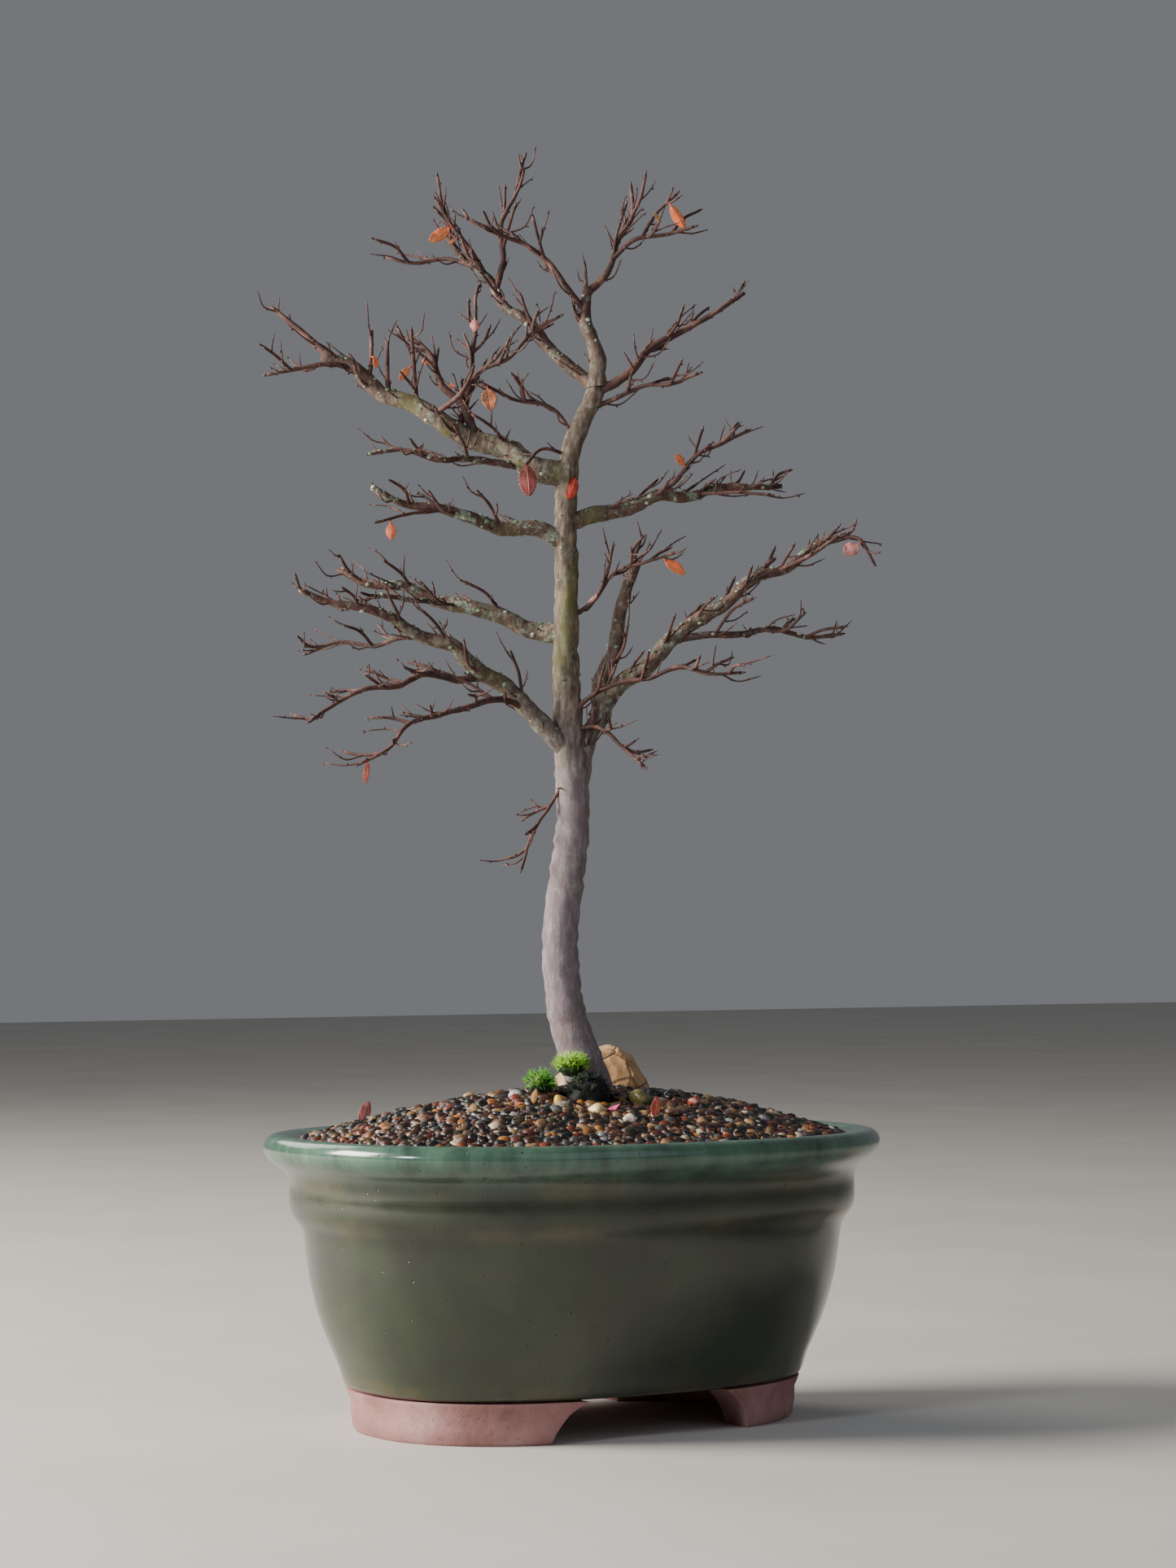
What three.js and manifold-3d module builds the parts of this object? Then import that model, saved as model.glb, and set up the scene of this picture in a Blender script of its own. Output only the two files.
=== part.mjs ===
// A bonsai elm, nearly bare in late autumn, in an oval glazed pot on two feet.
// Units are millimetres and +Z is up. The origin is on the table under the middle of the pot, +X runs
// along the pot's long side and +Y runs to its back. The tree, its stones, moss and leaves are written
// in the tree's own frame, (across, depth, up) from the middle of the pot's rim, and the tree's
// front is turned from the pot's front by TREE_TURN.

import * as THREE from 'three';
import { mergeVertices } from 'three/addons/utils/BufferGeometryUtils.js';
import { ConvexGeometry } from 'three/addons/geometries/ConvexGeometry.js';
import Module from 'manifold-3d';

const wasm = await Module();
wasm.setup();

// ---------------------------------------------------------------- sizes that can be set

const GAP = 0.3; // clearance between pieces that touch

const POT_LENGTH = 205;
const POT_WIDTH = 152;
const POT_HEIGHT = 93.5;
const POT_SQUARENESS = 2.39; // exponent of the oval: 2 is an ellipse, more is squarer
const POT_WALL = 7;
const POT_FLOOR = 7;
const LIP_WIDTH = 12; // from the outer edge of the rolled lip to the mouth
const BODY_TAPER = 22.9; // how far the body's foot lies inside the lip
const FOOT_HEIGHT = 12.9;
const FOOT_RING = 12; // thickness of the foot ring that the two feet are cut from
const ARCH_AT_TABLE = 74; // width of the arch between the feet
const ARCH_AT_TOP = 52;
const DRAIN_DIAMETER = 14;
const DRAIN_SPACING = 66;

const SCREEN_SIZE = 25; // plastic screen over each drain hole
const SCREEN_THICKNESS = 1.2;
const WIRE_DIAMETER = 1.2; // wire staple that holds the screen

const SOIL_BELOW_RIM = 7; // at the wall
const GRAVEL_BELOW_RIM = 1.6; // at the wall
const MOUND_HEIGHT = 13.5; // gravel above the rim at the trunk
const GRAVEL_DEPTH = 6; // thickness of the gravel at the trunk

const TREE_TURN = 32.6; // degrees
const TREE_HEIGHT = 319; // above the rim
const TRUNK_DIAMETER = 11.6; // a third of the way up
const STONE_WIDTH = 36;
const LEAF_THICKNESS = 0.5;

// ---------------------------------------------------------------- solids

const solidOf = (geometry) => {
  const plain = geometry.clone();
  plain.deleteAttribute('normal');
  plain.deleteAttribute('uv');
  const merged = mergeVertices(plain, 1e-5);
  return new wasm.Manifold(new wasm.Mesh({
    numProp: 3,
    vertProperties: new Float32Array(merged.attributes.position.array),
    triVerts: new Uint32Array(merged.index.array),
  }));
};

const geometryOf = (solid) => {
  const mesh = solid.getMesh();
  const geometry = new THREE.BufferGeometry();
  geometry.setAttribute('position', new THREE.BufferAttribute(mesh.vertProperties, 3));
  geometry.setIndex(new THREE.BufferAttribute(mesh.triVerts, 1));
  geometry.computeVertexNormals();
  return geometry;
};

const material = (color, roughness, metalness = 0) =>
  new THREE.MeshStandardMaterial({ color, roughness, metalness });

const object = new THREE.Group();
const planting = new THREE.Group(); // the tree's own frame
planting.position.z = POT_HEIGHT;
planting.rotation.z = -THREE.MathUtils.degToRad(TREE_TURN);
object.add(planting);
planting.updateMatrixWorld(true);

const addPiece = (group, name, geometry, look) => {
  const mesh = new THREE.Mesh(geometry, look);
  mesh.name = name;
  group.add(mesh);
  return mesh;
};

// A piece of the planting as a solid in the pot's frame, for cutting what it sits in.
const inPotFrame = (geometry) => solidOf(geometry.clone().applyMatrix4(planting.matrixWorld));

const cutAll = (solid, cutters) => cutters.reduce((left, cutter) => left.subtract(cutter), solid);

// ---------------------------------------------------------------- pot

const HALF_LENGTH = POT_LENGTH / 2;
const OVAL_STRETCH = (POT_LENGTH - POT_WIDTH) / 2; // the oval is this much longer than wide, each side
const OVAL_CORE = OVAL_STRETCH + 13.5; // inside this half length the oval shrinks in proportion
const OVAL_SEGMENTS = 36;

// The half width that goes with a half length: a constant band all round, down to the core.
const halfWidthAt = (halfLength) => (halfLength > OVAL_CORE
  ? halfLength - OVAL_STRETCH
  : halfLength * (OVAL_CORE - OVAL_STRETCH) / OVAL_CORE);

const power = (value, exponent) => Math.sign(value) * Math.abs(value) ** exponent;

// Lathes an outline of (half length, height) points and presses the circle into the pot's oval.
const ovalLathe = (outline) => {
  const geometry = mergeVertices(new THREE.LatheGeometry(outline, OVAL_SEGMENTS));
  const at = geometry.attributes.position;
  for (let i = 0; i < at.count; i += 1) {
    const halfLength = Math.hypot(at.getX(i), at.getZ(i));
    const angle = Math.atan2(-at.getZ(i), at.getX(i));
    const x = halfLength * power(Math.cos(angle), 2 / POT_SQUARENESS);
    const y = halfWidthAt(halfLength) * power(Math.sin(angle), 2 / POT_SQUARENESS);
    at.setXYZ(i, x, y, at.getY(i));
  }
  return geometry;
};

const BODY_FOOT = FOOT_HEIGHT + 8; // where the body turns into its foot
const SHOULDER = POT_HEIGHT - 30; // the step between body and belt
const BELT = POT_HEIGHT - 16; // top of the belt, under the lip
const FLOOR_TOP = FOOT_HEIGHT + POT_FLOOR;
const FOOT_INSET = BODY_TAPER + 5;
const INNER_FOOT = HALF_LENGTH - BODY_TAPER - POT_WALL; // half length of the inside near the floor

const potOutline = () => {
  const path = new THREE.Path();
  const ringInner = HALF_LENGTH - FOOT_INSET - FOOT_RING;
  path.moveTo(0, FOOT_HEIGHT);
  path.lineTo(ringInner, FOOT_HEIGHT);
  path.lineTo(ringInner, 0);
  path.lineTo(HALF_LENGTH - FOOT_INSET, 0);
  path.quadraticCurveTo(HALF_LENGTH - FOOT_INSET + 1, FOOT_HEIGHT * 0.75,
    HALF_LENGTH - BODY_TAPER - 2.6, FOOT_HEIGHT);
  path.quadraticCurveTo(HALF_LENGTH - BODY_TAPER - 1, FOOT_HEIGHT + 3, HALF_LENGTH - BODY_TAPER, BODY_FOOT);
  path.bezierCurveTo(HALF_LENGTH - 17, BODY_FOOT + 14, HALF_LENGTH - 13.6, SHOULDER - 17,
    HALF_LENGTH - 12.5, SHOULDER - 3);
  path.quadraticCurveTo(HALF_LENGTH - 12, SHOULDER, HALF_LENGTH - 10.2, SHOULDER + 2);
  path.quadraticCurveTo(HALF_LENGTH - 8.4, SHOULDER + 5, HALF_LENGTH - 7.6, BELT);
  path.quadraticCurveTo(HALF_LENGTH - 6.8, BELT + 4.5, HALF_LENGTH - 3.4, BELT + 6.4);
  path.quadraticCurveTo(HALF_LENGTH, BELT + 8, HALF_LENGTH, POT_HEIGHT - 4);
  path.quadraticCurveTo(HALF_LENGTH, POT_HEIGHT, HALF_LENGTH - 3.4, POT_HEIGHT);
  path.quadraticCurveTo(HALF_LENGTH - 8, POT_HEIGHT, HALF_LENGTH - LIP_WIDTH, POT_HEIGHT - 2.6);
  return path.getPoints(3).concat(innerWall().reverse());
};

// The inside of the wall, from the floor's middle up to below the mouth.
const innerWall = (clearance = 0) => {
  const path = new THREE.Path();
  path.moveTo(0, FLOOR_TOP + clearance);
  path.lineTo(INNER_FOOT - 6, FLOOR_TOP + clearance);
  path.quadraticCurveTo(INNER_FOOT - clearance, FLOOR_TOP + clearance,
    INNER_FOOT + 1 - clearance, FLOOR_TOP + 8);
  path.bezierCurveTo(INNER_FOOT + 6 - clearance, FLOOR_TOP + 18,
    HALF_LENGTH - 12.5 - POT_WALL - clearance, SHOULDER - 20,
    HALF_LENGTH - 12.5 - POT_WALL - clearance, SHOULDER - 3);
  path.quadraticCurveTo(HALF_LENGTH - 12 - POT_WALL - clearance, SHOULDER + 5,
    HALF_LENGTH - 8.6 - POT_WALL - clearance, BELT + 2);
  return path.getPoints(3);
};

// The half length of the pot's inside at a height, read off the wall's outline.
const insideAt = (height, clearance) => {
  const wall = innerWall(clearance);
  const mouth = new THREE.Vector2(HALF_LENGTH - LIP_WIDTH - clearance, POT_HEIGHT - 2.6);
  const points = [...wall, mouth];
  for (let i = 1; i < points.length; i += 1) {
    if (points[i].y >= height) {
      const share = (height - points[i - 1].y) / (points[i].y - points[i - 1].y);
      return points[i - 1].x + share * (points[i].x - points[i - 1].x);
    }
  }
  return mouth.x;
};

const footArch = () => {
  const shape = new THREE.Shape();
  shape.moveTo(-ARCH_AT_TABLE / 2, -1);
  shape.lineTo(ARCH_AT_TABLE / 2, -1);
  shape.lineTo(ARCH_AT_TABLE / 2, 0);
  shape.quadraticCurveTo(ARCH_AT_TABLE / 2 - 3, FOOT_HEIGHT * 0.7, ARCH_AT_TOP / 2, FOOT_HEIGHT);
  shape.lineTo(-ARCH_AT_TOP / 2, FOOT_HEIGHT);
  shape.quadraticCurveTo(3 - ARCH_AT_TABLE / 2, FOOT_HEIGHT * 0.7, -ARCH_AT_TABLE / 2, 0);
  const across = new THREE.ExtrudeGeometry(shape,
    { depth: POT_WIDTH, bevelEnabled: false, curveSegments: 5 });
  return across.rotateX(Math.PI / 2).translate(0, POT_WIDTH / 2, 0);
};

const DRAINS = [['left', -DRAIN_SPACING / 2], ['right', DRAIN_SPACING / 2]];

const drainHole = (x) => new THREE.CylinderGeometry(DRAIN_DIAMETER / 2, DRAIN_DIAMETER / 2, POT_FLOOR * 3, 20)
  .rotateX(Math.PI / 2).translate(x, 0, FLOOR_TOP);

const potSolid = cutAll(solidOf(ovalLathe(potOutline())),
  [solidOf(footArch()), ...DRAINS.map(([, x]) => solidOf(drainHole(x)))]);
addPiece(object, 'pot', geometryOf(potSolid), material('#3a4030', 0.25));

// ---------------------------------------------------------------- drain screens and their staples

const SCREEN_HOLES = 4; // along each side
const SCREEN_PITCH = SCREEN_SIZE / (SCREEN_HOLES + 0.5);
const SCREEN_HOLE = SCREEN_PITCH * 0.62;
const STAPLE_HALF = SCREEN_PITCH / 2; // each leg goes through a hole beside the middle

const screenSolid = () => {
  const plate = new THREE.BoxGeometry(SCREEN_SIZE, SCREEN_SIZE, SCREEN_THICKNESS)
    .translate(0, 0, SCREEN_THICKNESS / 2);
  const middle = (SCREEN_HOLES - 1) / 2;
  const holes = [];
  for (let column = 0; column < SCREEN_HOLES; column += 1) {
    for (let row = 0; row < SCREEN_HOLES; row += 1) {
      holes.push(solidOf(new THREE.BoxGeometry(SCREEN_HOLE, SCREEN_HOLE, 3 * SCREEN_THICKNESS)
        .translate((column - middle) * SCREEN_PITCH, (row - middle) * SCREEN_PITCH, 0)));
    }
  }
  return cutAll(solidOf(plate), holes);
};

const SCREEN_BOTTOM = FLOOR_TOP + GAP;
const STAPLE_TOP = SCREEN_BOTTOM + SCREEN_THICKNESS + GAP + WIRE_DIAMETER / 2;
const STAPLE_FOOT = FOOT_HEIGHT - GAP - WIRE_DIAMETER / 2;
const STAPLE_REACH = DRAIN_DIAMETER / 2 + 6; // the bent legs lie outside the hole

const STAPLE_CORNERS = [[-STAPLE_REACH, STAPLE_FOOT], [-STAPLE_HALF, STAPLE_FOOT], [-STAPLE_HALF, STAPLE_TOP],
  [STAPLE_HALF, STAPLE_TOP], [STAPLE_HALF, STAPLE_FOOT], [STAPLE_REACH, STAPLE_FOOT]]
  .map(([x, z]) => new THREE.Vector3(x, STAPLE_HALF, z));

// ---------------------------------------------------------------- tubes for wood and wire

// A closed tube through points, its radius read evenly along its length from a list.
const tubeGeometry = (curve, radii, sides, steps) => {
  const geometry = new THREE.CylinderGeometry(1, 1, 1, sides, steps);
  const frames = curve.computeFrenetFrames(steps);
  const at = geometry.attributes.position;
  for (let i = 0; i < at.count; i += 1) {
    const share = at.getY(i) + 0.5;
    const step = Math.round(share * steps);
    const radius = radiusAt(radii, share);
    const point = curve.getPointAt(share)
      .addScaledVector(frames.normals[step], at.getX(i) * radius)
      .addScaledVector(frames.binormals[step], -at.getZ(i) * radius);
    at.setXYZ(i, point.x, point.y, point.z);
  }
  return geometry;
};

const radiusAt = (radii, share) => {
  const place = share * (radii.length - 1);
  const low = Math.min(Math.floor(place), radii.length - 2);
  return THREE.MathUtils.lerp(radii[low], radii[low + 1], place - low);
};

// A wire with square corners: one straight tube for each leg, joined.
const wireSolid = (corners, diameter) => corners.slice(1).map((end, i) => {
  const start = corners[i];
  const along = end.clone().sub(start).normalize().multiplyScalar(diameter / 2);
  const line = new THREE.LineCurve3(start.clone().sub(along), end.clone().add(along));
  return solidOf(tubeGeometry(line, [diameter / 2, diameter / 2], 6, 1));
}).reduce((joined, leg) => joined.add(leg));

for (const [side, x] of DRAINS) {
  const screen = addPiece(object, `drain_screen_${side}`, geometryOf(screenSolid()),
    material('#20221f', 0.7));
  screen.position.set(x, 0, SCREEN_BOTTOM);
  const staple = addPiece(object, `screen_wire_${side}`, geometryOf(wireSolid(STAPLE_CORNERS, WIRE_DIAMETER)),
    material('#a8663a', 0.4, 1));
  staple.position.set(x, 0, 0);
}

// ---------------------------------------------------------------- tree

// The trunk's radii evenly along its length and its points (across, depth, up).
const DRAWN_TRUNK = 11.6; // the trunk's diameter that the radii below are written for
const TRUNK = ['trunk', null, [9, 6.6, 5.9, 5.7, 5.3, 4.3, 3.8, 3.4, 2.9],
  [[5, 0, -12], [4, 0, 14], [-3, 0, 38], [-5, 0, 62], [-1, 0, 100], [-3, 0, 140], [-3, 0, 182], [-2, 0, 218],
    [7, 0, 241]]];

// Each branch: its name, the limb it grows from, how far along that limb, its heading (0 is right, 90 is
// back, 180 is left), its rise in degrees at its foot and at its tip, its length, its radii at both.
const BRANCHES = [
  ['second_stem', 'trunk', 118, 12, 74, 76, 84, 3.3, 1.9],
  ['right_main', 'second_stem', 30, -6, 48, 22, 104, 2.9, 1.4],
  ['right_low', 'right_main', 36, 12, 12, -8, 58, 1.6, 0.8],
  ['right_rise', 'right_main', 62, 24, 40, 50, 22, 1.2, 0.8],
  ['right_fork', 'right_main', 78, -32, 8, 30, 26, 1.2, 0.8],
  ['right_tips', 'right_main', 98, -18, 10, -62, 19, 0.9, 0.7],
  ['b3', 'trunk', 136, 196, 50, 8, 106, 3.2, 1.1],
  ['b3_low', 'b3', 36, 204, 6, -32, 66, 1.6, 0.8],
  ['b3_droop', 'b3', 20, 214, 6, -44, 70, 1.5, 0.7],
  ['b3_mid', 'b3', 58, 170, 2, -10, 44, 1.2, 0.8],
  ['b2', 'trunk', 174, 176, 18, 14, 80, 3.1, 1.2],
  ['b2_low', 'b2', 44, 200, 6, -14, 34, 1.2, 0.8],
  ['b1', 'trunk', 204, 194, 8, 16, 68, 2.7, 1.1],
  ['b1_tail', 'b1', 42, 206, -4, -12, 26, 0.9, 0.7],
  ['left_limb', 'trunk', 226, 178, 20, 34, 92, 3.9, 2.0],
  ['lower_par', 'left_limb', 12, 200, 2, 4, 56, 1.6, 0.8],
  ['back_stem', 'left_limb', 34, 140, 62, 40, 48, 1.9, 1.0],
  ['mid_post', 'left_limb', 40, 70, 62, 80, 50, 1.5, 0.8],
  ['long_pale', 'left_limb', 50, -24, 38, 28, 56, 1.2, 0.8],
  ['left_end', 'left_limb', 80, 190, -2, -10, 30, 1.3, 0.8],
  ['left_tip', 'left_limb', 90, 176, 30, 58, 26, 1.6, 0.9],
  ['left_post_a', 'left_limb', 66, 100, 80, 86, 19, 1.2, 0.9],
  ['left_post_b', 'left_limb', 74, -80, 76, 84, 17, 1.1, 0.9],
  ['left_post_c', 'left_limb', 56, -100, 72, 60, 26, 1.1, 0.8],
  ['right_limb', 'trunk', 210, 8, 20, 2, 74, 2.7, 1.1],
  ['right_limb_up', 'right_limb', 28, 20, 50, 22, 44, 1.3, 0.8],
  ['right_limb_low', 'right_limb', 46, -30, -2, -12, 26, 1.0, 0.7],
  ['leader', 'trunk', 262, 160, 74, 88, 34, 2.7, 1.8],
  ['upper_left', 'trunk', 256, 172, 42, 50, 74, 2.3, 1.2],
  ['upper_left_rise', 'upper_left', 48, 10, 90, 68, 44, 1.4, 0.8],
  ['upper_left_shoot', 'upper_left', 54, 200, 46, 62, 30, 1.1, 0.8],
  ['upper_left_end', 'upper_left', 60, 168, 8, 0, 30, 1.1, 0.8],
  ['leader_left', 'leader', 26, 190, 64, 8, 50, 1.4, 0.8],
  ['leader_right', 'leader', 32, 6, 48, 86, 40, 1.6, 0.8],
  ['reach', 'leader_right', 14, -14, 28, 6, 30, 1.2, 0.8],
  ['reach_shoot', 'reach', 12, 8, 60, 50, 19, 0.9, 0.75],
  ['crown_right', 'trunk', 254, 4, 44, 24, 60, 1.9, 0.9],
  ['crown_right_low', 'trunk', 248, -20, 24, 2, 40, 1.2, 0.8],
  ['hang_twig', 'trunk', 238, 198, 42, 8, 38, 0.9, 0.75],
  ['leaf_arch', 'trunk', 232, 212, 40, -60, 20, 0.9, 0.75],
  ['front_high', 'trunk', 178, -28, 54, 4, 46, 1.1, 0.75],
  ['front_arch', 'trunk', 146, -24, 36, -14, 66, 1.2, 0.75],
  ['front_droop', 'trunk', 142, -36, 8, -56, 34, 1.1, 0.75],
  ['drop_left', 'trunk', 130, 206, -42, -80, 37, 0.9, 0.75],
];

const ROOTS = [
  ['root_right', 'trunk', [4.5, 3, 2, 1.2], [[5, 0, -4], [22, -6, -12], [38, -12, -26], [47, -16, -40]]],
  ['root_left', 'trunk', [4.8, 3.2, 2.2, 1.2], [[5, 0, -4], [-12, -8, -11], [-32, -13, -22],
    [-46, -12, -38]]],
  ['root_back_left', 'trunk', [4.2, 2.8, 1.8, 1.2], [[5, 0, -4], [-6, 13, -12], [-15, 28, -24],
    [-18, 36, -40]]],
  ['root_back_right', 'trunk', [4.2, 2.6, 1.8, 1.2], [[5, 0, -4], [14, 13, -13], [28, 24, -26],
    [36, 29, -42]]],
  ['root_front', 'trunk', [4.4, 2.8, 1.8, 1.2], [[5, 0, -4], [6, -15, -11], [2, -31, -24], [-4, -40, -40]]],
];

const BEND_SPACING = 11; // mm between the bends of a branch
const BEND = 13; // degrees that each bend turns it, at most
const SHOOT_SPACING = 8;
const FIRST_SHOOT = 14; // bare length at a branch's foot
const SHOOT_LENGTH = 15;
const SHOOT_FOOT = 0.85; // a shoot's radius where it starts and where it ends
const SHOOT_TIP = 0.72;
const SHOOT_SPREAD = 48; // degrees between a shoot and its branch, to the left and right in turn
const BARE_BELOW = 28; // branches shorter than this carry no shoots

// The shoots along a branch, written as branches.
const shootsOf = ([name, , , heading, riseAtFoot, riseAtTip, length]) => {
  const shoots = [];
  if (length < BARE_BELOW) return shoots;
  for (let run = FIRST_SHOOT; run < length - 3; run += SHOOT_SPACING) {
    const number = shoots.length;
    const side = number % 2 ? 1 : -1;
    const rise = THREE.MathUtils.lerp(riseAtFoot, riseAtTip, run / length);
    const size = (1.15 - 0.55 * run / length) * (1 + 0.35 * Math.sin(3.1 * number + length));
    shoots.push([`${name}_shoot_${number + 1}`, name, run, heading + side * SHOOT_SPREAD,
      0.6 * rise + 16 + 20 * Math.sin(2.1 * number + length), 0.6 * rise + 24,
      SHOOT_LENGTH * size, SHOOT_FOOT, SHOOT_TIP]);
  }
  return shoots;
};

// The point at a distance along a line of points.
const pointAlong = (points, distance) => {
  let left = distance;
  for (let i = 1; i < points.length; i += 1) {
    const span = points[i].distanceTo(points[i - 1]);
    if (left <= span) return points[i - 1].clone().lerp(points[i], left / span);
    left -= span;
  }
  return points.at(-1).clone();
};

const drawn = new Map([['trunk', TRUNK[3].map((place) => new THREE.Vector3(...place))]]);

// A branch's points, each turned a little from the one before.
const drawBranch = ([name, parent, along, heading, riseAtFoot, riseAtTip, length, foot, tip], number) => {
  const points = [pointAlong(drawn.get(parent), along)];
  const spans = Math.max(2, Math.round(length / BEND_SPACING));
  for (let i = 0; i < spans; i += 1) {
    const bent = heading + BEND * Math.sin(1.9 * i + 2.4 * number);
    const climb = THREE.MathUtils.lerp(riseAtFoot, riseAtTip, (i + 0.5) / spans)
      + BEND * Math.sin(2.6 * i + 1.7 * number);
    const turn = THREE.MathUtils.degToRad(bent);
    const rise = THREE.MathUtils.degToRad(climb);
    const step = new THREE.Vector3(Math.cos(turn) * Math.cos(rise), Math.sin(turn) * Math.cos(rise),
      Math.sin(rise));
    points.push(points[i].clone().addScaledVector(step, length / spans));
  }
  drawn.set(name, points);
  return [name, parent, [foot, 0.6 * foot + 0.4 * tip, tip], points.map((point) => point.toArray())];
};

const LIMBS = [TRUNK, ...[...BRANCHES, ...BRANCHES.flatMap(shootsOf)].map(drawBranch)];
const DRAWN_HEIGHT = Math.max(...[...drawn.values()].flat().map((point) => point.z));

const TREE_SCALE = TREE_HEIGHT / DRAWN_HEIGHT;
const WOOD_SCALE = TRUNK_DIAMETER / DRAWN_TRUNK;
const TWIG_DETAIL = 0.55; // straight lengths for each drawn one, on all but the thickest limbs
const THICK_LIMB = 2.4;

const toVector = ([across, depth, up]) => new THREE.Vector3(across, depth, up);

// The point of a limb's spine, the straight lengths that its tube is made of, nearest to a point.
const nearestOnSpine = (spine, point) => {
  const found = spine.slice(1).map((end, i) => new THREE.Line3(spine[i], end)
    .closestPointToPoint(point, true, new THREE.Vector3()));
  return found.reduce((best, place) => (place.distanceTo(point) < best.distanceTo(point) ? place : best));
};

const spineAt = (spine, share) => {
  const place = share * (spine.length - 1);
  const low = Math.min(Math.floor(place), spine.length - 2);
  return spine[low].clone().lerp(spine[low + 1], place - low);
};

const limbs = new Map();

const growLimb = ([name, parent, radii, places]) => {
  const points = places.map((place) => toVector(place).multiplyScalar(TREE_SCALE));
  if (parent) points[0] = nearestOnSpine(limbs.get(parent).spine, points[0]);
  const curve = new THREE.CatmullRomCurve3(points, false, 'centripetal');
  const spans = points.length - 1;
  const steps = Math.max(...radii) > THICK_LIMB ? spans : Math.ceil(spans * TWIG_DETAIL);
  limbs.set(name, {
    curve,
    steps,
    spine: curve.getSpacedPoints(steps),
    radii: radii.map((radius) => radius * WOOD_SCALE),
  });
};

[...LIMBS, ...ROOTS].forEach(growLimb);

// Facets round a tube of a radius.
const sidesFor = (radius) => {
  if (radius > 4) return 9;
  if (radius > THICK_LIMB) return 6;
  if (radius > 1.4) return 5;
  return radius > 0.85 ? 4 : 3;
};

const limbSolid = ({ curve, steps, radii }, extra) => solidOf(tubeGeometry(
  curve,
  radii.map((radius) => radius + extra),
  sidesFor(Math.max(...radii)),
  steps,
));

const joinLimbs = (names, extra) => wasm.Manifold.union(
  names.map((name) => limbSolid(limbs.get(name), extra)),
);

const treeSolid = joinLimbs([...limbs.keys()], 0);
addPiece(planting, 'tree', geometryOf(treeSolid), material('#8f8587', 0.85));

// The trunk and roots with their clearance, which the soil, gravel and moss are cut by.
const FIT = 2 * GAP; // facets of two tubes may stand a little closer than their radii
const rootRoom = joinLimbs(['trunk', ...ROOTS.map(([name]) => name)], FIT);
const rootRoomInPot = inPotFrame(geometryOf(rootRoom));

// ---------------------------------------------------------------- mounded ground

const SOIL_EDGE = POT_HEIGHT - SOIL_BELOW_RIM;
const SOIL_TOP = POT_HEIGHT + MOUND_HEIGHT - GRAVEL_DEPTH;
const GRAVEL_EDGE = POT_HEIGHT - GRAVEL_BELOW_RIM;
const GRAVEL_TOP = POT_HEIGHT + MOUND_HEIGHT;

// The top of the soil or the gravel, from the pot's wall up to the middle.
const mound = (edgeHeight, topHeight) => {
  const edge = insideAt(edgeHeight, GAP);
  const rise = new THREE.Path();
  rise.moveTo(edge, edgeHeight);
  rise.bezierCurveTo(edge * 0.75, edgeHeight + (topHeight - edgeHeight) * 0.4, edge * 0.5, topHeight,
    0, topHeight);
  return rise.getPoints(5);
};

const GRAVEL_MOUND = mound(GRAVEL_EDGE, GRAVEL_TOP);

// The half length of the oval ring that passes through a point of the pot's plan.
const ringThrough = (x, y) => {
  let low = 0.01;
  let high = HALF_LENGTH;
  for (let i = 0; i < 40; i += 1) {
    const middle = (low + high) / 2;
    const reach = Math.abs(x / middle) ** POT_SQUARENESS
      + Math.abs(y / halfWidthAt(middle)) ** POT_SQUARENESS;
    if (reach > 1) low = middle;
    else high = middle;
  }
  return high;
};

// How far the gravel stands above the rim at a place of the tree's frame.
const gravelAt = (across, depth) => {
  const place = new THREE.Vector3(across, depth, 0).applyMatrix4(planting.matrixWorld);
  const ring = ringThrough(place.x, place.y);
  for (let i = 1; i < GRAVEL_MOUND.length; i += 1) {
    if (GRAVEL_MOUND[i].x <= ring) {
      const share = (GRAVEL_MOUND[i - 1].x - ring) / (GRAVEL_MOUND[i - 1].x - GRAVEL_MOUND[i].x);
      return THREE.MathUtils.lerp(GRAVEL_MOUND[i - 1].y, GRAVEL_MOUND[i].y, Math.max(share, 0)) - POT_HEIGHT;
    }
  }
  return MOUND_HEIGHT;
};

// ---------------------------------------------------------------- stones and moss on the gravel

const TRUNK_FOOT = spineAt(limbs.get('trunk').spine, 0.1);
const TRUNK_FOOT_RADIUS = radiusAt(limbs.get('trunk').radii, 0.1);

// The faceted stone behind the trunk, its corners as shares of its half width.
const STONE_CORNERS = [
  [-1.0, -0.1, -0.3], [-0.93, 0.1, 0.3], [-0.62, -0.3, 0.58], [-0.3, 0.25, 0.72], [0.02, -0.35, 0.62],
  [0.12, 0.2, 0.98], [0.34, -0.2, 0.94], [0.6, 0.1, 0.72], [0.62, -0.45, 0.42], [0.88, -0.1, 0.3],
  [1.0, -0.2, -0.05], [0.95, 0.3, -0.3], [0.55, 0.55, 0.4], [0.1, 0.7, 0.3], [-0.5, 0.6, 0.1],
  [-0.7, -0.45, -0.45], [0.1, -0.6, -0.5], [0.85, -0.5, -0.5], [0.5, 0.6, -0.6], [-0.6, 0.55, -0.6],
];
const STONE_HALF = STONE_WIDTH / 2;
const STONE_SINK = 3.5; // how far the stone's middle lies below the top of the mound

const stoneGeometry = (growth = 0) => new ConvexGeometry(STONE_CORNERS.map((corner) => {
  const point = toVector(corner).multiplyScalar(STONE_HALF);
  return point.add(point.clone().normalize().multiplyScalar(growth));
}));

const STONE_PLACE = new THREE.Vector3(TRUNK_FOOT.x + 5, TRUNK_FOOT_RADIUS + 0.62 * STONE_HALF + 1.5,
  MOUND_HEIGHT - STONE_SINK);
addPiece(planting, 'feature_stone', stoneGeometry(), material('#b08a5e', 0.8)).position.copy(STONE_PLACE);

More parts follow.
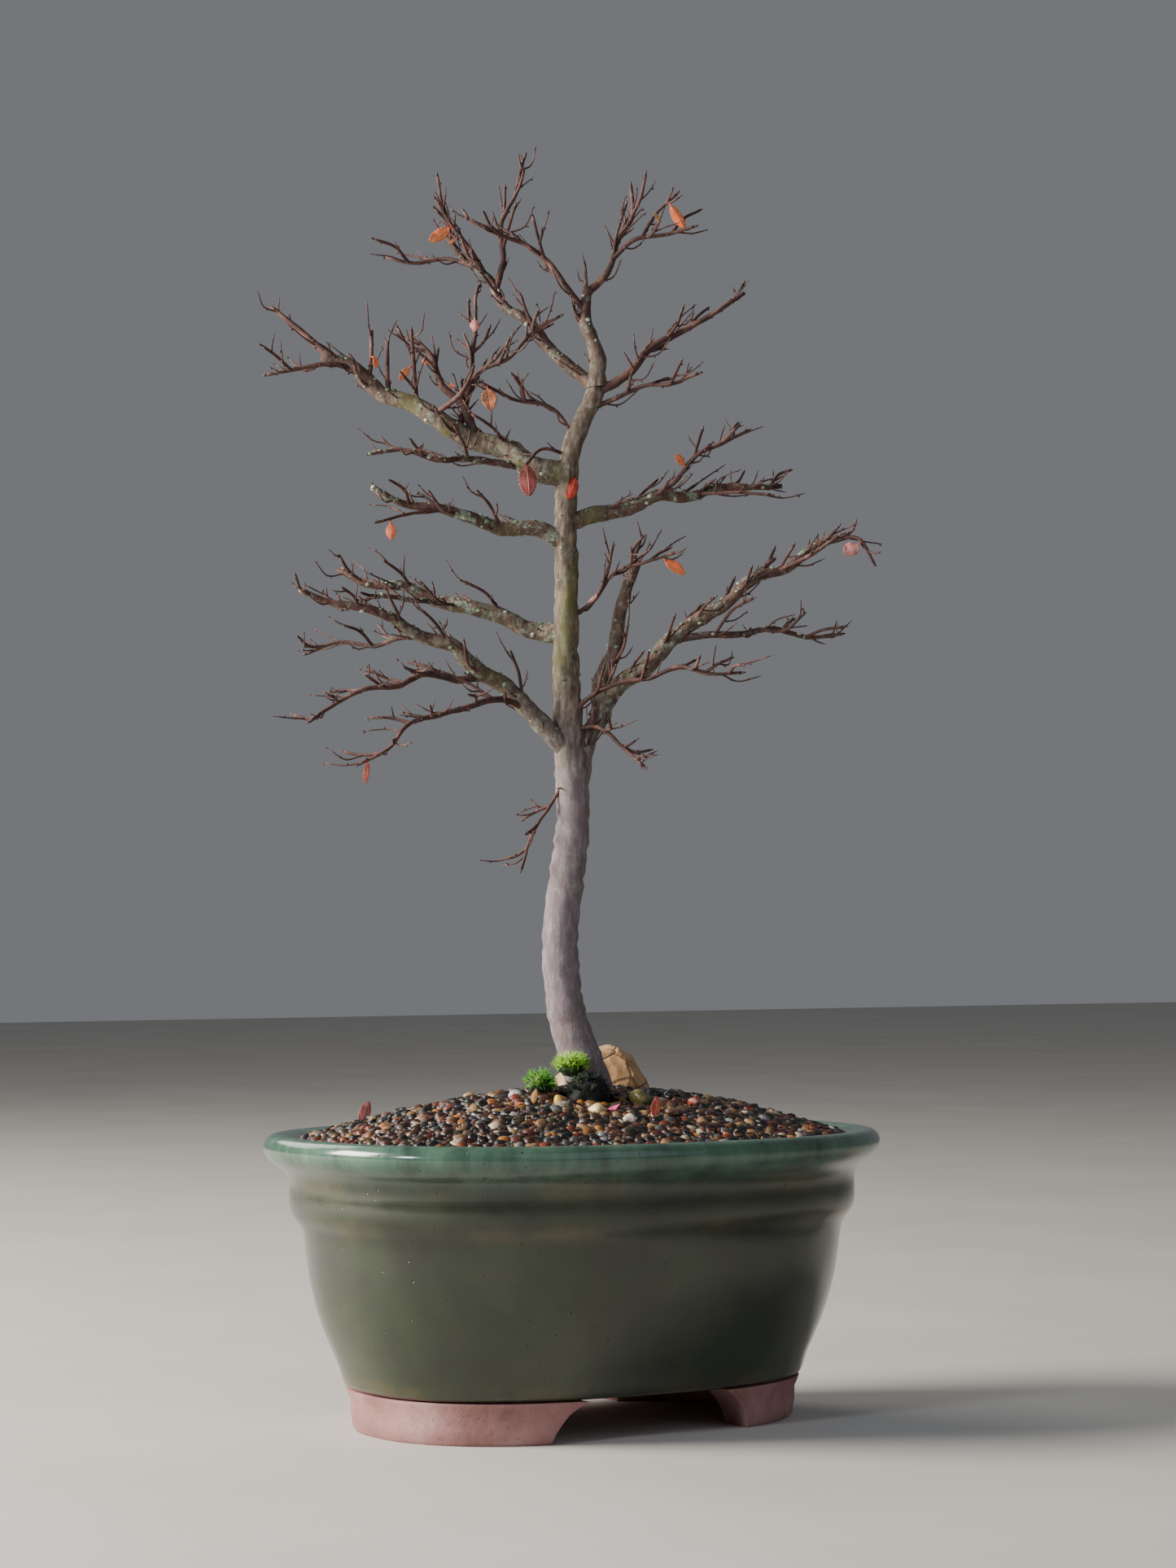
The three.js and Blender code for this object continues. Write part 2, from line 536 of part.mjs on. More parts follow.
// Pebbles large enough to be pieces of their own: name, across, depth, half sizes, turn, colour.
const PEBBLES = [
  ['pebble_olive', 20.5, -10, [4.4, 4.2, 4.0], 10, '#6f6a3c'],
  ['pebble_yellow', -5.5, -24, [1.9, 2.0, 2.5], 20, '#d9b24a'],
  ['pebble_cream', 7, -30, [3.9, 3.0, 2.5], 15, '#e3c98e'],
  ['pebble_red', 38, -2, [2.4, 2.3, 2.2], 0, '#c8573c'],
  ['pebble_black', 31, 3, [3.6, 3.0, 2.6], 30, '#1f1d1d'],
  ['pebble_grey', -19, -20, [3.3, 2.6, 2.3], -20, '#a7a5a8'],
  ['pebble_quartz', 17, -37, [2.8, 2.4, 2.3], 40, '#d8cdb8'],
  ['pebble_brown', 31, -22, [3.8, 2.9, 2.0], -10, '#5a4334'],
  ['pebble_tan', -34, -5, [3.4, 2.8, 2.2], 25, '#a98762'],
  ['pebble_slate', -26, 14, [3.7, 3.0, 2.2], -35, '#4a4c50'],
  ['pebble_brick', -12, 30, [3.1, 2.7, 2.3], 50, '#9b4a35'],
  ['pebble_sand', 6, 42, [3.5, 2.8, 2.2], 5, '#c2a37a'],
];
const SEATED = 0.25; // share of its half height that a pebble's middle stands above the gravel

const pebbleGeometry = ([, across, depth, half, turn], growth = 0) => new THREE.IcosahedronGeometry(1, 0)
  .scale(half[0] + growth, half[1] + growth, half[2] + growth)
  .rotateZ(THREE.MathUtils.degToRad(turn))
  .translate(across, depth, gravelAt(across, depth) + SEATED * half[2]);

// Moss cushions in front of the trunk: name, distances right of and before the trunk's foot, half sizes,
// how far the middle stands above the gravel, colour.
const MOSS = [
  ['moss_bright', -4.5, 3.8, [6.2, 3.6, 3.8], 8.2, '#8fc52e'],
  ['moss_green', -14.2, 4.6, [5.8, 4.2, 4.4], 1.8, '#3f9a1e'],
  ['moss_dark', 1, 5.5, [10.2, 6.4, 8.2], 0.8, '#16221a'],
];

const mossGeometry = ([, right, before, half, rise], growth = 0) => {
  const across = TRUNK_FOOT.x + right;
  const depth = -TRUNK_FOOT_RADIUS - before;
  return new THREE.IcosahedronGeometry(1, 1)
    .scale(half[0] + growth, half[1] + growth, half[2] + growth)
    .translate(across, depth, gravelAt(across, depth) + rise);
};

const mossRooms = [];
for (const tuft of MOSS) {
  const cushion = cutAll(solidOf(mossGeometry(tuft)), [rootRoom, ...mossRooms]);
  addPiece(planting, tuft[0], geometryOf(cushion), material(tuft.at(-1), 0.95));
  mossRooms.push(solidOf(mossGeometry(tuft, FIT)));
}

for (const pebble of PEBBLES) {
  addPiece(planting, pebble[0], pebbleGeometry(pebble), material(pebble.at(-1), 0.4));
}

// ---------------------------------------------------------------- leaves

// A pointed oval blade on a short stalk, its base at the origin and its tip along +X.
const leafShape = (length, width) => {
  const stalk = 0.3;
  const shape = new THREE.Shape();
  shape.moveTo(0, -stalk);
  shape.lineTo(length * 0.12, -stalk);
  shape.quadraticCurveTo(length * 0.3, -width / 2, length * 0.55, -width / 2);
  shape.quadraticCurveTo(length * 0.85, -width * 0.42, length, 0);
  shape.quadraticCurveTo(length * 0.85, width * 0.42, length * 0.55, width / 2);
  shape.quadraticCurveTo(length * 0.3, width / 2, length * 0.12, stalk);
  shape.lineTo(0, stalk);
  return shape;
};

const leafGeometry = (length, width, growth = 0) => new THREE.ExtrudeGeometry(
  leafShape(length + 2 * growth, width + 2 * growth),
  { depth: LEAF_THICKNESS + 2 * growth, bevelEnabled: false, curveSegments: 2 },
).translate(-growth, 0, -LEAF_THICKNESS / 2 - growth);

// Turns a leaf so that its tip points along one direction and its face looks along another.
const leafTurn = (along, facing) => {
  const x = toVector(along).normalize();
  const y = toVector(facing).cross(x).normalize();
  return new THREE.Matrix4().makeBasis(x, y, x.clone().cross(y));
};

// Leaves still on the tree: name, limb, share along it, the side it grows from, where its tip points,
// where its face looks, length, width and colour.
const LEAVES = [
  ['leaf_high_left', 'upper_left_shoot', 0.66, [-1, -0.6, 0], [-0.74, -0.5, -0.66],
    [0.1, -1, 0.1], 9.9, 4.2, '#f0622a'],
  ['leaf_high_left_small', 'upper_left_shoot', 0.52, [-1, -0.2, 0], [-0.85, -0.1, -0.5],
    [0, -1, 0.3], 3.4, 1.6, '#8c4a32'],
  ['leaf_high_right', 'reach_shoot', 0.8, [0.6, -0.8, -0.2], [0.52, -0.1, -0.84],
    [0.3, -1, 0], 10, 3.8, '#f0622a'],
  ['leaf_high_right_dry', 'reach_shoot', 0.5, [-0.6, -0.8, 0.1], [0.5, -0.2, -0.8],
    [0.5, -1, 0], 4.4, 1.6, '#a5793a'],
  ['leaf_pink', 'mid_post', 0.85, [0, -1, -0.3], [0.1, -0.4, -0.9], [0.2, -1, 0.2], 4.9, 3.2, '#d98a86'],
  ['leaf_crown_left', 'left_post_c', 0.5, [-0.9, -0.6, 0], [-0.6, -0.2, -0.78],
    [0.3, -1, 0], 5.6, 2.8, '#e07a2c'],
  ['leaf_crown_far_left', 'left_post_b', 0.5, [0.6, -0.9, 0], [0.2, -0.4, -0.95],
    [0.6, -1, 0], 4.6, 2.0, '#d9602a'],
  ['leaf_back_a', 'back_stem', 0.75, [-0.6, -0.8, -0.4], [0.3, -0.6, -0.6],
    [0, -1, 0.6], 3.8, 2.4, '#d9602a'],
  ['leaf_back_b', 'back_stem', 0.42, [0.5, -0.8, -0.2], [0.3, -1, -0.3],
    [1, -0.3, 0.6], 3.9, 2.6, '#e0642c'],
  ['leaf_brown', 'hang_twig', 0.95, [0.1, -0.8, -0.6], [0.12, -0.15, -0.98],
    [0.1, -1, 0.1], 8, 5.4, '#a8532c'],
  ['leaf_large_red', 'leaf_arch', 0.98, [-0.4, -0.7, -0.4], [0.06, -0.12, -0.99],
    [0, -1, 0.1], 11.4, 6.3, '#9a3a26'],
  ['leaf_trunk_red', 'trunk', 0.88, [0.62, -0.78, 0], [-0.25, -0.12, -0.96],
    [0.2, -1, 0], 8, 4.8, '#c8332b'],
  ['leaf_right_up', 'right_limb_up', 0.4, [-0.1, -0.5, 0.9], [-0.55, -0.3, 0.75],
    [0.2, -1, 0.2], 4.8, 3.0, '#e0642c'],
  ['leaf_right_mid', 'front_high', 0.9, [0.3, -0.5, -0.8], [0.84, 0.1, -0.5],
    [0, -1, 0.2], 8.6, 3.6, '#ef5a3a'],
  ['leaf_front_pink', 'front_high', 0.3, [-0.1, -0.7, -0.6], [-0.75, -0.2, -0.6],
    [0, -1, 0.3], 4.3, 1.5, '#d8766c'],
  ['leaf_left_orange', 'b1_tail', 0.8, [0, -0.5, -0.9], [-0.05, -0.1, -1],
    [0.2, -1, 0], 5.8, 3.4, '#f4632f'],
  ['leaf_far_right', 'right_tips', 0.6, [-0.8, -0.7, -0.3], [-0.85, -0.35, -0.5],
    [-0.1, -1, 0.1], 6.2, 5, '#d9694a'],
  ['leaf_low_left', 'b3_droop', 0.955, [0, -0.6, -0.8], [-0.2, -0.1, -0.98],
    [0.7, -1, 0], 7, 2.2, '#f0485a'],
];

for (const [name, limb, share, side, along, facing, length, width, colour] of LEAVES) {
  const { curve, spine, radii } = limbs.get(limb);
  const tangent = curve.getTangentAt(share);
  const out = toVector(side);
  out.addScaledVector(tangent, -out.dot(tangent)).normalize();
  const leaf = addPiece(planting, name, leafGeometry(length, width), material(colour, 0.55));
  leaf.position.copy(spineAt(spine, share)).addScaledVector(out, radiusAt(radii, share) + GAP + 0.15);
  leaf.quaternion.setFromRotationMatrix(leafTurn(along, facing));
}

// Leaves that have dropped on the gravel, their bases just in it: name, across, depth, tip direction,
// facing, length, width, colour.
const FALLEN = [
  ['fallen_leaf_dark', -69, -12, [0.35, 0.2, 0.9], [0.3, -1, 0.2], 8, 4, '#6e2320'],
  ['fallen_leaf_pink', 9.5, -25, [0.95, -0.2, 0.3], [-0.2, -0.6, 1], 5.2, 2.6, '#d63a78'],
  ['fallen_leaf_red', 25, -28, [0.1, -0.1, 1], [0.3, -1, 0.1], 7, 3.6, '#b3262c'],
  ['fallen_leaf_orange', -14.5, -30, [0.3, -0.2, 0.9], [-0.5, -1, 0.3], 6.4, 2.6, '#b8703c'],
  ['fallen_leaf_brown', -22, -32, [0.9, -0.3, 0.35], [-0.3, -0.5, 1], 6.4, 2.8, '#a8482e'],
];
const LEAF_SINK = 0.8; // how far a fallen leaf's base lies in the gravel

const fallenGeometry = ([, across, depth, along, facing, length, width], growth = 0) =>
  leafGeometry(length, width, growth).applyMatrix4(leafTurn(along, facing))
    .translate(across, depth, gravelAt(across, depth) - LEAF_SINK);

for (const leaf of FALLEN) {
  addPiece(planting, leaf[0], fallenGeometry(leaf), material(leaf.at(-1), 0.6));
}

// ---------------------------------------------------------------- soil and gravel

const wallUpTo = (height) => innerWall(GAP).filter((point) => point.y < height - 0.5);
const lifted = (points, rise) => points.map((point) => new THREE.Vector2(point.x, point.y + rise));

const screenRoom = (x) => new THREE.BoxGeometry(SCREEN_SIZE + 2 * GAP, SCREEN_SIZE + 2 * GAP,
  2 * (STAPLE_TOP + WIRE_DIAMETER / 2 + GAP - FLOOR_TOP)).translate(x, 0, FLOOR_TOP);

const stoneRoom = inPotFrame(stoneGeometry(FIT).translate(...STONE_PLACE));
const mossRoomsInPot = MOSS.map((tuft) => inPotFrame(mossGeometry(tuft, FIT)));

const soilSolid = cutAll(solidOf(ovalLathe([...wallUpTo(SOIL_EDGE), ...mound(SOIL_EDGE, SOIL_TOP)])),
  [rootRoomInPot, stoneRoom, ...mossRoomsInPot, ...DRAINS.map(([, x]) => solidOf(screenRoom(x)))]);

const gravelSolid = cutAll(
  solidOf(ovalLathe([...lifted(mound(SOIL_EDGE, SOIL_TOP), GAP).reverse(), ...GRAVEL_MOUND])),
  [
    rootRoomInPot,
    stoneRoom,
    ...mossRoomsInPot,
    ...PEBBLES.map((pebble) => inPotFrame(pebbleGeometry(pebble, FIT))),
    ...FALLEN.map((leaf) => inPotFrame(fallenGeometry(leaf, FIT))),
  ],
);

addPiece(object, 'soil', geometryOf(soilSolid), material('#2a211a', 0.95));
addPiece(object, 'gravel_bed', geometryOf(gravelSolid), material('#6b5a4a', 0.6));

export default object;
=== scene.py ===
"""A bonsai elm, nearly bare in late autumn, in an oval glazed pot on two feet.

Everything is in the pot's frame: the origin is on the table under the middle of the pot, +X runs along
its long side and +Z is up. The tree's own places are written in millimetres as (across, depth, up) from
the middle of the rim, and PLANTING turns them into the pot's frame.
"""
import math
import random

import bmesh
import bpy
import numpy as np
from mathutils import Matrix, Vector, noise
from mathutils.bvhtree import BVHTree


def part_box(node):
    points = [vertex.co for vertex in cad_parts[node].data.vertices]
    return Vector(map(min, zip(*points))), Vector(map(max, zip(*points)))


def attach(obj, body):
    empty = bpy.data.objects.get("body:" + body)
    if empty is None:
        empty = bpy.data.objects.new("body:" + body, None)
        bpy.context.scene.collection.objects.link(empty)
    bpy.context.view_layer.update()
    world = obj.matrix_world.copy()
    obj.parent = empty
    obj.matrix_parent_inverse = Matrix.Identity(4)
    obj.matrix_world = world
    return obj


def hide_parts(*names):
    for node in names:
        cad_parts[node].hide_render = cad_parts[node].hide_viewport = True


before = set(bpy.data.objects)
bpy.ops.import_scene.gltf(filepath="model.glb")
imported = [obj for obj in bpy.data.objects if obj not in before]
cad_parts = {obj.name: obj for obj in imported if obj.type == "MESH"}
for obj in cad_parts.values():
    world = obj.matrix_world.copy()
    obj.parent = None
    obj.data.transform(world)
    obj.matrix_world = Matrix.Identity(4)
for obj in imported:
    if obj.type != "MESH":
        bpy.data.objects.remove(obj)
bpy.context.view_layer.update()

bl_info = {
    "name": "Potted Bonsai Elm",
    "version": (1, 0, 0),
    "blender": (4, 5, 0),
    "location": "3D View > Sidebar > Bonsai",
    "description": "Builds a bonsai elm in a glazed pot, with its stones, moss and leaves",
    "category": "Add Mesh",
}

MM = 0.001
POT_LOW, POT_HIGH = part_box("pot")
POT_LENGTH = (POT_HIGH.x - POT_LOW.x) / MM
POT_WIDTH = (POT_HIGH.y - POT_LOW.y) / MM
POT_HEIGHT = POT_HIGH.z / MM
TREE_TURN = 32.6  # degrees that the tree's front is turned from the pot's
PLANTING = (Matrix.Scale(MM, 4) @ Matrix.Translation((0, 0, POT_HEIGHT))
            @ Matrix.Rotation(-math.radians(TREE_TURN), 4, "Z"))
TO_METRES = Matrix.Scale(MM, 4)


# ------------------------------------------------------------------ materials

def linear(hex_colour):
    """A colour written as sRGB hex, as the linear RGBA that Blender shades with."""
    channels = [int(hex_colour[i:i + 2], 16) / 255 for i in (1, 3, 5)]
    return [c / 12.92 if c <= 0.04045 else ((c + 0.055) / 1.055) ** 2.4 for c in channels] + [1.0]


def add(tree, kind, inputs=None, **settings):
    """Adds a node, sets its settings, and gives each input a value or a link."""
    made = tree.nodes.new(kind)
    for name, value in settings.items():
        setattr(made, name, value)
    for name, value in (inputs or {}).items():
        socket = made.inputs[name]
        if isinstance(value, bpy.types.NodeSocket):
            tree.links.new(value, socket)
        elif isinstance(value, str):
            socket.default_value = linear(value)
        else:
            socket.default_value = value
    return made


def finish_of(name, roughness, ior=1.5, metallic=0.0, coat=0.0, subsurface=0.0):
    """A new material with its Principled shader. Returns the material, its tree and the shader."""
    look = bpy.data.materials.new(name)
    look.use_nodes = True
    shader = look.node_tree.nodes["Principled BSDF"]
    shader.inputs["Roughness"].default_value = roughness
    shader.inputs["IOR"].default_value = ior
    shader.inputs["Metallic"].default_value = metallic
    shader.inputs["Coat Weight"].default_value = coat
    shader.inputs["Coat Roughness"].default_value = 0.08
    shader.inputs["Subsurface Weight"].default_value = subsurface
    return look, look.node_tree, shader


def object_place(tree, stretch=(1.0, 1.0, 1.0)):
    """Object coordinates, stretched, in metres."""
    place = add(tree, "ShaderNodeTexCoord").outputs["Object"]
    if stretch == (1.0, 1.0, 1.0):
        return place
    return add(tree, "ShaderNodeMapping", {"Vector": place, "Scale": stretch}).outputs["Vector"]


def grain(tree, place, size_mm, detail=3.0, rough=0.55):
    """Noise whose lumps are about size_mm across."""
    return add(tree, "ShaderNodeTexNoise", {
        "Vector": place, "Scale": 1000 / size_mm / 2, "Detail": detail, "Roughness": rough,
    }).outputs["Fac"]


def ramp(tree, value, stops):
    """A colour ramp over value, from a list of (position, hex colour)."""
    made = add(tree, "ShaderNodeValToRGB", {"Fac": value})
    elements = made.color_ramp.elements
    while len(elements) < len(stops):
        elements.new(0.5)
    for element, (position, colour) in zip(elements, stops):
        element.position = position
        element.color = linear(colour)
    return made.outputs["Color"]


def mask(tree, value, low, high):
    """0 below low, 1 above high, smooth between."""
    return add(tree, "ShaderNodeMapRange", {
        "Value": value, "From Min": low, "From Max": high,
    }, interpolation_type="SMOOTHSTEP").outputs["Result"]


def mixed(tree, share, first, second, blend="MIX"):
    """Two colours mixed by a share."""
    return add(tree, "ShaderNodeMix", {0: share, 6: first, 7: second}, data_type="RGBA",
               blend_type=blend).outputs[2]


def times(tree, first, second, operation="MULTIPLY"):
    """Two values put together by a sum, product or other operation."""
    return add(tree, "ShaderNodeMath", {0: first, 1: second}, operation=operation).outputs["Value"]


def bump(tree, shader, height, distance_mm, strength=1.0):
    """Raises the surface by height, in millimetres at most distance_mm."""
    shader_normal = add(tree, "ShaderNodeBump", {
        "Height": height, "Distance": distance_mm * MM, "Strength": strength,
    }).outputs["Normal"]
    tree.links.new(shader_normal, shader.inputs["Normal"])


def height_in(tree, place):
    """The height of a place, in metres."""
    return add(tree, "ShaderNodeSeparateXYZ", {"Vector": place}).outputs["Z"]


def iron_green_glaze():
    """Stoneware under an iron and copper glaze: a glossy, uneven, dark olive coat that runs green and
    thick on the lip and breaks to amber where it is thin on the steps of the wall."""
    sizes = bpy.context.scene.bonsai_pot
    look, tree, shader = finish_of("iron_green_glaze", 0.16, ior=1.52, coat=0.35)
    place = object_place(tree)
    height = height_in(tree, place)
    clouds = grain(tree, place, 16, 4.0, 0.6)
    drips = grain(tree, object_place(tree, (1.0, 1.0, 0.28)), 5, 4.0, 0.6)
    body = ramp(tree, clouds, [(0.3, sizes.glaze_shade), (0.52, sizes.glaze_body), (0.75, "#2c331d")])
    body = mixed(tree, times(tree, drips, 0.15), body, "#42503e")
    lip_share = mask(tree, height, (POT_HEIGHT - 17) * MM, (POT_HEIGHT - 4) * MM)
    lip = ramp(tree, drips, [(0.28, "#20332b"), (0.5, sizes.glaze_lip), (0.78, "#557563")])
    body = mixed(tree, times(tree, lip_share, 0.9), body, lip)
    thin = times(tree, shelf_share(tree, height), mask(tree, clouds, 0.42, 0.62))
    body = mixed(tree, times(tree, thin, 0.28), body, "#5a4a20")
    pits = add(tree, "ShaderNodeTexVoronoi", {"Vector": place, "Scale": 1000 / 4.5}).outputs["Distance"]
    pinholes = mask(tree, pits, 0.045, 0.11)
    body = mixed(tree, pinholes, "#15130f", body)
    tree.links.new(body, shader.inputs["Base Color"])
    gloss = add(tree, "ShaderNodeMapRange", {"Value": drips, "To Min": 0.1,
                                             "To Max": 0.3}).outputs["Result"]
    tree.links.new(gloss, shader.inputs["Roughness"])
    ripple = times(tree, times(tree, grain(tree, place, 9, 2.0, 0.4), 0.8), times(tree, pinholes, 0.25),
                   "ADD")
    bump(tree, shader, ripple, 0.55)
    return look


def shelf_share(tree, height):
    """1 on the steps of the wall where the glaze drains thin, and 0 between them."""
    share = None
    for step_height in (POT_HEIGHT - 14, POT_HEIGHT - 27, FOOT_HEIGHT + 3):
        away = add(tree, "ShaderNodeMath", {0: height, 1: step_height * MM},
                   operation="SUBTRACT").outputs[0]
        distance = add(tree, "ShaderNodeMath", {0: away}, operation="ABSOLUTE").outputs[0]
        near = mask(tree, distance, 4.5 * MM, 0.5 * MM)
        share = near if share is None else times(tree, share, near, "MAXIMUM")
    return share


def raw_stoneware():
    """Unglazed stoneware clay: dull, pinkish brown, with fine dark and pale grog."""
    sizes = bpy.context.scene.bonsai_pot
    look, tree, shader = finish_of("raw_stoneware", 0.82, ior=1.45)
    place = object_place(tree)
    body = ramp(tree, grain(tree, place, 9, 4.0), [(0.3, "#7a5450"), (0.52, sizes.clay), (0.75,
            "#a98580")])
    specks = grain(tree, place, 0.7, 2.0, 0.7)
    body = mixed(tree, times(tree, mask(tree, specks, 0.6, 0.72), 0.45), body, "#553c38")
    tree.links.new(body, shader.inputs["Base Color"])
    bump(tree, shader, grain(tree, place, 1.2, 3.0), 0.25)
    return look


def elm_bark():
    """Elm bark, by how thick the wood is: grey-lilac with fine upright cracks and olive algae on the
    trunk, smooth red-brown skin on the twigs, and pale crusts of lichen on some limbs."""
    colours = bpy.context.scene.bonsai_tree
    look, tree, shader = finish_of("elm_bark", 0.78, ior=1.46)
    place = object_place(tree)
    upright = object_place(tree, (1.0, 1.0, 0.3))
    age = add(tree, "ShaderNodeAttribute", attribute_name="age").outputs["Fac"]
    crust = add(tree, "ShaderNodeAttribute", attribute_name="lichen").outputs["Fac"]
    cracks = grain(tree, upright, 0.9, 5.0, 0.7)
    blotches = grain(tree, place, 8, 4.0, 0.6)
    smooth_skin = ramp(tree, cracks, [(0.25, "#544a4d"), (0.5, colours.bark), (0.8, "#958a90")])
    warm = mask(tree, blotches, 0.5, 0.68)
    smooth_skin = mixed(tree, times(tree, warm, 0.55), smooth_skin, "#6f5450")
    rough_skin = ramp(tree, cracks, [(0.3, "#2c231d"), (0.5, "#5b4c3e"), (0.74, "#97897a")])
    algae = mask(tree, grain(tree, upright, 5, 4.0), 0.5, 0.64)
    rough_skin = mixed(tree, times(tree, algae, 0.6), rough_skin, "#5f5f2e")
    crown_share = mask(tree, height_in(tree, place), (POT_HEIGHT + 95) * MM, (POT_HEIGHT + 150) * MM)
    old = mixed(tree, crown_share, smooth_skin, rough_skin)
    young = ramp(tree, grain(tree, place, 3.2, 3.0), [(0.3, "#2a1714"), (0.55, colours.twig), (0.8,
            "#7d564d")])
    body = mixed(tree, mask(tree, age, 0.1, 0.7), young, old)
    scabs = mask(tree, grain(tree, place, 1.7, 4.0, 0.7), 0.5, 0.6)
    lichen_share = times(tree, scabs, crust)
    pale = ramp(tree, grain(tree, place, 0.8, 3.0), [(0.35, "#4f5c4c"), (0.6, "#8d9a86"), (0.8,
            "#d3d6ca")])
    body = mixed(tree, lichen_share, body, pale)
    tree.links.new(body, shader.inputs["Base Color"])
    relief = times(tree, cracks, times(tree, lichen_share, 0.8, "ADD"))
    bump(tree, shader, relief, 0.3)
    return look


def lichen_flakes():
    """Leafy lichen: dull grey-green and whitish scales."""
    look, tree, shader = finish_of("leafy_lichen", 0.9)
    place = object_place(tree)
    body = ramp(tree, grain(tree, place, 2.4, 4.0), [(0.35, "#3d4a33"), (0.52, "#7c8a6c"), (0.7,
            "#c3c9b8")])
    tree.links.new(body, shader.inputs["Base Color"])
    bump(tree, shader, grain(tree, place, 0.7, 3.0), 0.2)
    return look


def cut_wood():
    """Pruned ends: dry pale sapwood, a little cracked."""
    look, tree, shader = finish_of("cut_wood", 0.8)
    place = object_place(tree)
    body = ramp(tree, grain(tree, place, 0.8, 3.0), [(0.3, "#a98a66"), (0.6, "#e2d0ad")])
    tree.links.new(body, shader.inputs["Base Color"])
    return look


def bud_scales():
    """Winter buds: dark, slightly shiny scales."""
    look, tree, shader = finish_of("bud_scales", 0.5)
    place = object_place(tree)
    body = ramp(tree, grain(tree, place, 1.5, 2.0), [(0.35, "#241311"), (0.7, "#54302a")])
    tree.links.new(body, shader.inputs["Base Color"])
    return look


def autumn_leaf(name, blade, edge, vein):
    """A dry elm leaf: thin, satin, letting a little light through, its veins paler and sunk between
    low ridges, browning to its edge. The pattern follows the leaf's own UV map."""
    look, tree, shader = finish_of(name, 0.48, ior=1.42, subsurface=0.08)
    uv = add(tree, "ShaderNodeTexCoord").outputs["UV"]
    parts = add(tree, "ShaderNodeSeparateXYZ", {"Vector": uv})
    side = times(tree, parts.outputs["Y"], 0.5, "SUBTRACT")
    out = add(tree, "ShaderNodeMath", {0: side}, operation="ABSOLUTE").outputs[0]
    middle = mask(tree, out, 0.05, 0.02)
    run = times(tree, times(tree, parts.outputs["X"], 58.0), times(tree, out, 52.0), "SUBTRACT")
    wave = add(tree, "ShaderNodeMath", {0: run}, operation="SINE").outputs[0]
    ribs = mask(tree, wave, 0.72, 0.98)
    veins = times(tree, middle, ribs, "MAXIMUM")
    blotches = grain(tree, object_place(tree), 2.6, 4.0, 0.6)
    body = mixed(tree, mask(tree, blotches, 0.42, 0.68), blade, edge)
    body = mixed(tree, times(tree, mask(tree, out, 0.3, 0.5), 0.6), body, edge)
    body = mixed(tree, times(tree, veins, 0.65), body, vein)
    tree.links.new(body, shader.inputs["Base Color"])
    bump(tree, shader, times(tree, 1.0, veins, "SUBTRACT"), 0.18)
    return look


def mixed_gravel():
    """Washed river gravel, damp and glossy: every stone has its own colour, with fine flecks and
    bands, and a waxy shine."""
    look, tree, shader = finish_of("washed_gravel", 0.34, ior=1.5)
    place = object_place(tree)
    own = add(tree, "ShaderNodeAttribute", attribute_name="stone_colour").outputs["Color"]
    flecks = ramp(tree, grain(tree, place, 0.9, 4.0, 0.7), [(0.3, "#4e4642"), (0.5, "#c9c0b8"), (0.75,
            "#ffffff")])
    body = mixed(tree, 0.85, own, flecks, "MULTIPLY")
    tree.links.new(body, shader.inputs["Base Color"])
    bump(tree, shader, grain(tree, place, 0.8, 3.0), 0.12)
    return look


def polished_pebble(name, colour):
    """A smooth stream pebble: glossy, mottled, with a few pale veins."""
    look, tree, shader = finish_of(name, 0.24, ior=1.52)
    place = object_place(tree)
    mottle = ramp(tree, grain(tree, place, 1.6, 4.0, 0.6), [(0.28, "#7d746c"), (0.55, "#e6e0da"), (0.8,
            "#ffffff")])
    body = mixed(tree, 0.75, colour, mottle, "MULTIPLY")
    seams = mask(tree, grain(tree, object_place(tree, (1.0, 0.4, 1.6)), 2.4, 2.0), 0.62, 0.68)
    body = mixed(tree, times(tree, seams, 0.35), body, "#f2ead8")
    tree.links.new(body, shader.inputs["Base Color"])
    bump(tree, shader, grain(tree, place, 1.1, 3.0), 0.1)
    return look


def weathered_stone():
    """Weathered sandy quartzite: dull tan faces with brown seams and rusty and grey stains."""
    look, tree, shader = finish_of("weathered_quartzite", 0.62, ior=1.48)
    place = object_place(tree)
    body = ramp(tree, grain(tree, place, 11, 5.0, 0.6), [(0.28, "#7a5a3c"), (0.5, "#b08a5e"), (0.74,
            "#cdb595")])
    seams = add(tree, "ShaderNodeTexVoronoi", {"Vector": place, "Scale": 1000 / 9},
                feature="DISTANCE_TO_EDGE")
    crack = mask(tree, seams.outputs["Distance"], 0.05, 0.0)
    body = mixed(tree, times(tree, crack, 0.7), body, "#5d3a22")
    grey = mask(tree, grain(tree, place, 6, 4.0), 0.56, 0.7)
    body = mixed(tree, times(tree, grey, 0.5), body, "#8f8a86")
    tree.links.new(body, shader.inputs["Base Color"])
    bump(tree, shader, times(tree, grain(tree, place, 2, 5.0), times(tree, crack, -0.4), "ADD"), 0.6)
    return look


def living_moss():
    """Haircap moss: soft matt leaves, each in the one green given to its copy; the near-black greens of
    the dark cushion are painted shade.
    """
    look, tree, shader = finish_of("haircap_moss", 0.66, ior=1.4, subsurface=0.1)
    own = add(tree, "ShaderNodeAttribute", attribute_name="stone_colour").outputs["Color"]
    tree.links.new(own, shader.inputs["Base Color"])
    return look


